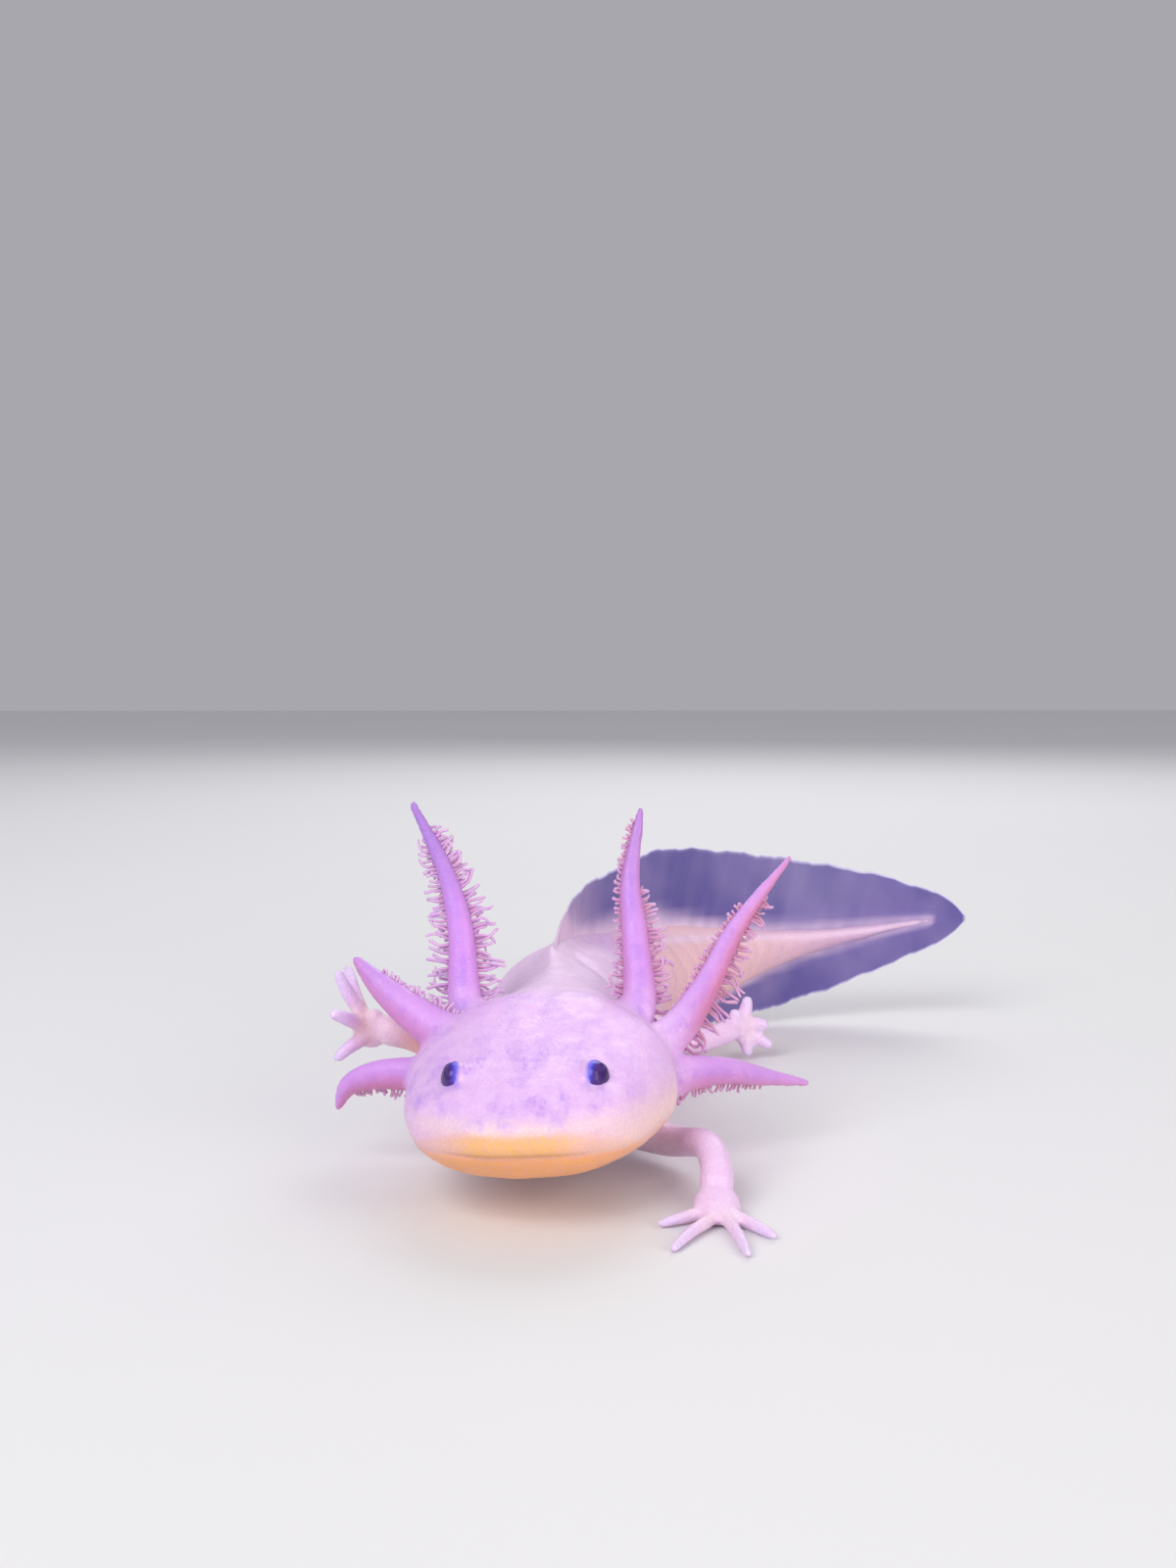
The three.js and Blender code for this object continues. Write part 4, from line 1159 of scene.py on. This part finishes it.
# ---------------------------------------------------------------- eyes
class AXOLOTL_OT_eyes(bpy.types.Operator):
    """Build the two lidless eyes, with a low cornea over the dark iris"""

    bl_idname = "axolotl.eyes"
    bl_label = "Eyes"

    def execute(self, context):
        material = eye_material(context.scene.axolotl_colours)
        radius = context.scene.axolotl_sizes.eye_radius
        for name, side in (("eye_left", 1), ("eye_right", -1)):
            middle, _, looking = eye_place(side)
            deselect()
            turn = Vector(looking).to_track_quat("Z", "Y").to_euler()
            bpy.ops.mesh.primitive_uv_sphere_add(
                segments=48, ring_count=32, radius=radius, location=middle * MM, rotation=turn
            )
            eye = bpy.context.object
            eye.name = f"{name}ball"
            bpy.ops.object.transform_apply(location=True, rotation=True, scale=True)
            way = unit(points_of(eye) - middle)
            share = way @ looking
            flatter = np.maximum(share - math.cos(math.radians(EYE_HIGHLIGHT["from"])), 0) * 0.5
            place(eye, middle + (way - looking * flatter[:, None]) * radius / MM)
            from_pole = np.degrees(np.arccos(np.clip(share, -1, 1)))
            paint(eye, "edge", from_pole / 90)
            # A painted blue highlight on the eye's inner side, then paler towards its rim.
            inner = fade(way @ inward(side), 0.1, 0.7)
            paint(eye, "eye_edge", fade(from_pole, EYE_HIGHLIGHT["from"], EYE_HIGHLIGHT["full"]) * inner * 0.9)
            paint(eye, "eye_ring", fade(from_pole, EYE_HIGHLIGHT["full"], EYE_HIGHLIGHT["pale"]) * inner)
            eye.data.materials.append(material)
            shade_smooth(eye)
            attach(eye, "root")
            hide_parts(name)
        return {"FINISHED"}


# ---------------------------------------------------------------- fins
def fin_edges(rows):
    """The heights of the sheet's upper and lower edges; under the tail the lower one is a free edge too."""
    nicks = 0.13 * np.sin(rows * 0.83 + 0.7) + 0.08 * np.sin(rows * 1.9) + 0.045 * np.sin(rows * 4.3 + 2)
    nicks *= fade(rows, 46, 56) * fade(rows, LENGTH, LENGTH - 6)
    back = top(rows) - 0.6
    high = back + (fin_top(rows) + nicks - back) * fade(rows, 37, 47)
    free = fade(rows, FIN_UNDER, FIN_UNDER + 4)
    low = (fin_bottom(np.maximum(rows, FIN_BOTTOM[0][0])) - nicks) * free + (bottom(rows) + 0.8) * (1 - free)
    return high, np.where(rows > FIN_UNDER, low, wide(rows))


def fin_sheet(edge):
    """The fin's closed wall as rings of points, and on each point the values that its material reads."""
    rows = np.r_[np.arange(FIN_FRONT, 124, 0.75), np.linspace(124, LENGTH - 0.05, 12)]
    high, low = (height[:, None] for height in fin_edges(rows))
    point, _, side = station(rows)
    point = point - side * fin_lean(rows)[:, None]
    at = rows[:, None]
    under = at > FIN_UNDER
    z = low + (high - low) * (1 - np.cos(np.pi * np.linspace(0, 1, 30))) / 2
    crown, belly, heart = top(at), bottom(at), wide(at)
    at_tip = fade(at, CORE_END - 2, CORE_END + 0.6)
    rise = np.clip((z - crown) / np.maximum(high - crown, 0.3), 0, 1)
    fall = np.clip((belly - z) / np.maximum(belly - low, 0.3), 0, 1) * under
    tip = np.clip(np.abs(z - heart) / np.maximum(high - heart, 0.3), 0, 1)
    reach = np.maximum(rise, fall) * (1 - at_tip) + at_tip * (0.45 + 0.55 * tip)
    from_edge = np.minimum(high - z, np.where(under, z - low, 9.0))
    from_edge = np.minimum(from_edge, (LENGTH - at) * 0.9)
    thick = edge + (FIN_THICKEST - edge) * (1 - reach) ** 1.5
    thick = thick * np.sqrt(1 - (1 - np.clip(from_edge / 0.3, 0, 1)) ** 2 * 0.96)
    sway = reach**2 * (0.32 * np.sin(at / 6.3 + 0.8) + 0.1 * np.sin(at / 2.1)) * fade(LENGTH - at, 0, 10)

    def wall(sign):
        out = point[:, None] + side[:, None] * (sway + sign * thick / 2)[..., None]
        out[..., 2] = z
        return out

    front = 0.05 + 0.95 * fade(at, 44, 60)
    band = 0.2 + 0.35 * fade(at, 92, 66) + 0.5 * fade(at, 62, 46)
    root = fade(reach * front, band, 0) * (1 - at_tip) * (1 - 0.55 * fade(at, 84, 102))
    values = {
        "reach": reach * front,
        "root": np.maximum(root, 0.5 * fade(at, 70, 52)),
        "ray": (at - 0.25 * np.abs(z - heart)) / LENGTH,
        "hem": fade(from_edge, 0.36, 0.1) * fade(at - FIN_FRONT, 14, 24),
    }
    return np.concatenate([wall(1), wall(-1)[:, ::-1]], axis=1), values


class AXOLOTL_OT_fins(bpy.types.Operator):
    """Build the thin fin that runs along the back, round the tail's tip and under the tail"""

    bl_idname = "axolotl.fins"
    bl_label = "Fins"

    def execute(self, context):
        rings, values = fin_sheet(context.scene.axolotl_sizes.fin_edge / MM)
        fins = wrap("fins", rings)
        found = nearest(rings.reshape(-1, 3), points_of(fins))
        for name, sheet in values.items():
            paint(fins, name, np.concatenate([sheet, sheet[:, ::-1]], axis=1).ravel()[found])
        fins.data.materials.append(fin_material(context.scene.axolotl_colours))
        shade_smooth(fins)
        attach(fins, "root")
        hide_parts(*FINS)
        return {"FINISHED"}


# ---------------------------------------------------------------- gill filaments
def filament_form():
    """One straight filament, a unit long and wide, with the share along it kept on its points."""
    along = np.array(FILAMENT_ALONG)[:, None]
    reach = np.array(FILAMENT_WIDE)[:, None] / 2
    turn = np.linspace(0, 2 * np.pi, FILAMENT_SIDES, endpoint=False)
    rings = np.stack([along + 0 * turn, reach * np.cos(turn), 0.75 * reach * np.sin(turn)], -1)
    form = wrap("filament", rings)
    paint(form, "tip", points_of(form)[:, 0])
    return form


def patch_of(shape):
    """A filament's small patch of the unwrap, at its corner."""
    return np.stack([shape[:, 0], shape[:, 1] + 0.5], 1) * PATCH


def set_unwrap(piece, places):
    """Make the piece's own UV map the unwrap to bake on, with a place for each of its points."""
    layer = piece.data.uv_layers[0]
    layer.name = "OFBake"
    corner = np.empty(len(piece.data.loops), int)
    piece.data.loops.foreach_get("vertex_index", corner)
    layer.data.foreach_set("uv", places[corner].ravel())


def copy_of(form):
    """A copy of a piece, with its own mesh."""
    piece = form.copy()
    piece.data = form.data.copy()
    bpy.context.collection.objects.link(piece)
    return piece


def grown_filament(shape, stalk, t, sign, row, long, width, draws):
    """The points of one filament, which leans, curls and sometimes hooks, from its root on the stalk."""
    curve, radius_at = stalk
    ahead = curve.ahead(t, 0.02)
    right = unit(np.cross(ahead, BACKWARDS))
    behind = unit(np.cross(right, ahead))
    turn = ROW_TURNS[row] + draws.uniform(-0.12, 0.12)
    sideways, backwards = right * sign * math.cos(turn), behind * math.sin(turn)
    root = curve.at(t) + (sideways + backwards * GILL_DEPTH) * radius_at(t) * 0.86
    lean = ahead * (draws.uniform(-0.25, 0.25) + 0.45 * t) + behind * draws.uniform(-0.1, 0.25)
    out = unit(unit(sideways + backwards) + lean)
    curl = unit(ahead * draws.choice((1, 1, -0.8)) + behind * draws.uniform(-0.4, 0.5))
    curl = unit(curl - out * (curl @ out))
    bend, wave = draws.uniform(-0.3, 0.6), draws.uniform(-0.35, 0.35)
    hook = draws.uniform(0.5, 1.1) if draws.random() < 0.3 else 0.0
    u, across, through = shape.T[:, :, None]
    angle = bend * u + wave * np.sin(5 * u) + hook * np.clip(u - 0.6, 0, 1) ** 1.5 * 3
    middle = root + long * u * (out * np.cos(angle * 0.5) + curl * np.sin(angle * 0.5))
    section = across * (curl * np.cos(angle) - out * np.sin(angle)) + through * np.cross(out, curl)
    return middle + width * draws.uniform(0.85, 1.15) * section


def comb(name, gill, form, sizes, draws):
    """Two rows of filaments along each edge of a gill, as one piece."""
    curve = Curve(gill["line"])
    stalk = curve, smooth(list(zip(np.linspace(0, 1, 5), gill["radii"])))
    pitch, width = sizes.filament_pitch / MM, sizes.filament_width / MM
    shape, parts = points_of(form), []
    for sign, key in ((1, "right"), (-1, "left")):
        *lengths, until = gill["fringe"][key]
        long_at = smooth(list(zip((0.2, 0.5, until), lengths)))
        count = int(curve.length * (until - FRINGE_START) / pitch)
        for row in range(len(ROW_TURNS)):
            ts = np.linspace(FRINGE_START, until, count) + draws.uniform(-0.005, 0.005, count) + row * 0.01
            for t in ts:
                long = long_at(t) * draws.uniform(0.72, 1.2) * (1 - 0.12 * row)
                if long < SHORTEST:
                    continue
                part = copy_of(form)
                place(part, grown_filament(shape, stalk, t, sign, row, long, width, draws))
                root_at = (0.1 + 0.8 * (0.5 + sign * (0.3 - 0.2 * row)), t)
                set_unwrap(part, patch_of(shape) + root_at)
                parts.append(part)
    piece = join(f"filaments_{name}", parts)
    paint(piece, "rose", np.full(len(piece.data.vertices), gill["look"]["rose"]))
    return piece


class AXOLOTL_OT_filaments(bpy.types.Operator):
    """Set rows of fine filaments along both edges of each gill"""

    bl_idname = "axolotl.filaments"
    bl_label = "Gill filaments"

    def execute(self, context):
        material = filament_material(context.scene.axolotl_colours)
        form = filament_form()
        draws = np.random.default_rng(7)
        for name, gill in GILLS.items():
            piece = comb(name, gill, form, context.scene.axolotl_sizes, draws)
            piece.data.materials.append(material)
            shade_smooth(piece)
            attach(piece, "root")
            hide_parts(f"gill_{name}")
        bpy.data.objects.remove(form)
        return {"FINISHED"}


# ---------------------------------------------------------------- stage
# Each light's place, size, power and colour; all of them point at the animal.
LIGHTS = {
    "key": ((-0.33, -0.4, 0.45), 0.42, 2.4, (1.0, 1.0, 1.0)),
    "fill": ((0.42, -0.44, 0.17), 0.5, 2.1, (1.0, 0.93, 0.82)),
    "back": ((0.1, 0.5, 0.45), 0.4, 1.35, (1.0, 1.0, 1.0)),
}
LIT_SPOT = (0.005, 0.0, 0.012)
SKY = {"Color": (0.93, 0.92, 1.0, 1), "Strength": 0.42}
CAMERA_AT = (-0.0015, -0.178, 0.0525)
CAMERA_TURN = (math.radians(90 - 4.47), 0, math.radians(-1.25))
CAMERA = {"sensor_fit": "HORIZONTAL", "sensor_width": 36, "lens": 48, "clip_start": 0.002}


class AXOLOTL_OT_stage(bpy.types.Operator):
    """Set the pale floor, the soft lights and the camera"""

    bl_idname = "axolotl.stage"
    bl_label = "Stage"

    def execute(self, context):
        deselect()
        bpy.ops.mesh.primitive_plane_add(size=3)
        floor = bpy.context.object
        floor.name = "studio_floor"
        floor.data.materials.append(floor_material())
        for name, (light_at, size, power, tone) in LIGHTS.items():
            bpy.ops.object.light_add(type="AREA", location=light_at)
            light = bpy.context.object
            light.name = f"{name}_light"
            light.data.size = size
            light.data.energy = power
            light.data.color = tone
            light.rotation_euler = (Vector(LIT_SPOT) - Vector(light_at)).to_track_quat("-Z", "Y").to_euler()
        world = bpy.data.worlds.new("Soft studio")
        world.use_nodes = True
        for key, value in SKY.items():
            world.node_tree.nodes["Background"].inputs[key].default_value = value
        context.scene.world = world
        context.scene.view_settings.view_transform = "Standard"
        bpy.ops.object.camera_add(location=CAMERA_AT, rotation=CAMERA_TURN)
        camera = bpy.context.object
        camera.name = "camera"
        for key, value in CAMERA.items():
            setattr(camera.data, key, value)
        context.scene.camera = camera
        return {"FINISHED"}


# ---------------------------------------------------------------- settings and panel
def colour(name, description, rgb):
    return bpy.props.FloatVectorProperty(
        name=name, description=description, subtype="COLOR", size=4, min=0, max=1, default=(*rgb, 1.0)
    )


def length(name, description, default):
    return bpy.props.FloatProperty(
        name=name, description=description, subtype="DISTANCE", unit="LENGTH", min=0, default=default,
        precision=5,
    )


class AxolotlSizes(bpy.types.PropertyGroup):
    skin_cell: length("Skin cell", "Edge of the cells in which the skin becomes one surface", 0.00034)
    mouth_depth: length("Lip line depth", "How deep the closed mouth's line is pressed in", 0.00017)
    groove_depth: length("Rib groove depth", "How deep the grooves between the ribs are", 0.00016)
    eye_radius: length("Eye radius", "Radius of the eyeball", 0.0015)
    fin_edge: length("Fin edge", "Thickness of the fin near its free edge", 0.0003)
    filament_width: length("Filament width", "Width of a gill filament", 0.00034)
    filament_pitch: length("Filament spacing", "Distance between filaments along a gill", 0.0005)


class AxolotlColours(bpy.types.PropertyGroup):
    # The skin's lavender cast is painted violet light from above, over its own pale pink.
    skin: colour("Skin", "Pale skin of the head and back", (0.88, 0.60, 0.94))
    skin_shade: colour("Skin, darker", "The skin's softer patches", (0.82, 0.52, 0.90))
    # Mostly painted light: a highlight over the lip and lifted shade on the legs and trunk; also a pale line
    # along the tail's top and the fin's rays.
    pale: colour("Pale bands", "Whitish skin over the lip and along the tail", (0.93, 0.72, 0.86))
    # Painted warm light from below.
    warm: colour("Flank", "Warm skin of the cheeks, flanks, belly and tail", (0.88, 0.58, 0.52))
    cream: colour("Cheek", "Golden cream of the left cheek", (0.96, 0.72, 0.56))
    # Painted warm light on the left cheek and over the lip; cream on the right palm and digits.
    tail: colour("Tail", "Peach flesh of the tail", (0.86, 0.56, 0.50))
    tail_end: colour("Tail's tip", "Bluer skin towards the tail's tip", (0.46, 0.30, 0.56))
    peach: colour("Right arm", "Peach skin of the raised arm and its palm", (0.90, 0.52, 0.32))
    # The lip's gold and the chin's orange are painted warm light from below, over the pale skin.
    lip: colour("Lip", "Golden skin of the upper lip", (0.95, 0.52, 0.15))
    chin: colour("Chin", "Orange-peach skin of the lower lip and chin", (0.94, 0.43, 0.11))
    mottle: colour("Mottles", "Grey-lavender freckles of the snout and crown", (0.56, 0.31, 0.82))
    # The stalks' violet cast is painted violet light from above, over their own pink.
    gill: colour("Gill stalk", "Skin of the gill stalks", (0.68, 0.31, 0.84))
    gill_rear: colour("Gill stalk, rear", "Redder lower side of the stalks", (0.66, 0.19, 0.36))
    gill_tip: colour("Gill stalk, tip", "Bluer ends of the upper stalks", (0.353, 0.202, 0.655))
    vein: colour("Gill vein", "Bluish line up the front of a stalk", (0.42, 0.20, 0.80))
    filament: colour("Filaments", "Filaments near their tips", (0.72, 0.49, 0.75))
    filament_root: colour("Filaments, base", "Filaments near the stalk", (0.60, 0.33, 0.60))
    filament_rose: colour("Filaments, rosy", "Redder filaments of some gills", (0.60, 0.21, 0.28))
    digit: colour("Digit tips", "Lavender tips of the digits", (0.84, 0.68, 0.95))
    fin: colour("Fin", "Membrane of the fins", (0.09, 0.066, 0.33))
    fin_shade: colour("Fin, paler", "Paler broad streaks of the membrane", (0.175, 0.132, 0.41))
    fin_root: colour("Fin root", "Membrane where it leaves the body", (0.82, 0.62, 0.84))
    fin_hem: colour("Fin edge", "The membrane's pale free edge", (0.72, 0.68, 0.95))
    eye: colour("Eye", "The dark of the eye", (0.036, 0.012, 0.12))
    iris: colour("Iris", "Flecks in the dark of the eye", (0.09, 0.032, 0.22))
    # Painted blue highlight on the eye's inner side and on the skin round it.
    eye_edge: colour("Eye edge", "Blue round the inner edge of the eye", (0.06, 0.05, 0.50))
    eye_ring: colour("Skin round the eye", "Bluish skin over the eyeball's rim", (0.20, 0.16, 0.85))
    # Painted shadow in the mouth's line.
    crease: colour("Creases", "Depth of the lip line", (0.50, 0.17, 0.05))


BUILDERS = (AXOLOTL_OT_skin, AXOLOTL_OT_eyes, AXOLOTL_OT_fins, AXOLOTL_OT_filaments, AXOLOTL_OT_stage)


class AXOLOTL_PT_panel(bpy.types.Panel):
    """Lists the model's pieces, sizes and colours"""

    bl_idname = "AXOLOTL_PT_panel"
    bl_label = "Axolotl model"
    bl_space_type = "VIEW_3D"
    bl_region_type = "UI"
    bl_category = "Axolotl"

    def draw(self, context):
        for builder in BUILDERS:
            self.layout.operator(builder.bl_idname)
        for settings in (context.scene.axolotl_sizes, context.scene.axolotl_colours):
            box = self.layout.box()
            for key in settings.__annotations__:
                box.prop(settings, key)


CLASSES = (AxolotlSizes, AxolotlColours, *BUILDERS, AXOLOTL_PT_panel)


def register():
    for kind in CLASSES:
        bpy.utils.register_class(kind)
    bpy.types.Scene.axolotl_sizes = bpy.props.PointerProperty(type=AxolotlSizes)
    bpy.types.Scene.axolotl_colours = bpy.props.PointerProperty(type=AxolotlColours)


def unregister():
    del bpy.types.Scene.axolotl_colours
    del bpy.types.Scene.axolotl_sizes
    for kind in reversed(CLASSES):
        bpy.utils.unregister_class(kind)


def main():
    register()
    bpy.ops.axolotl.stage()
    bpy.ops.axolotl.skin()
    bpy.ops.axolotl.eyes()
    bpy.ops.axolotl.fins()
    bpy.ops.axolotl.filaments()


if __name__ == "__main__":
    main()
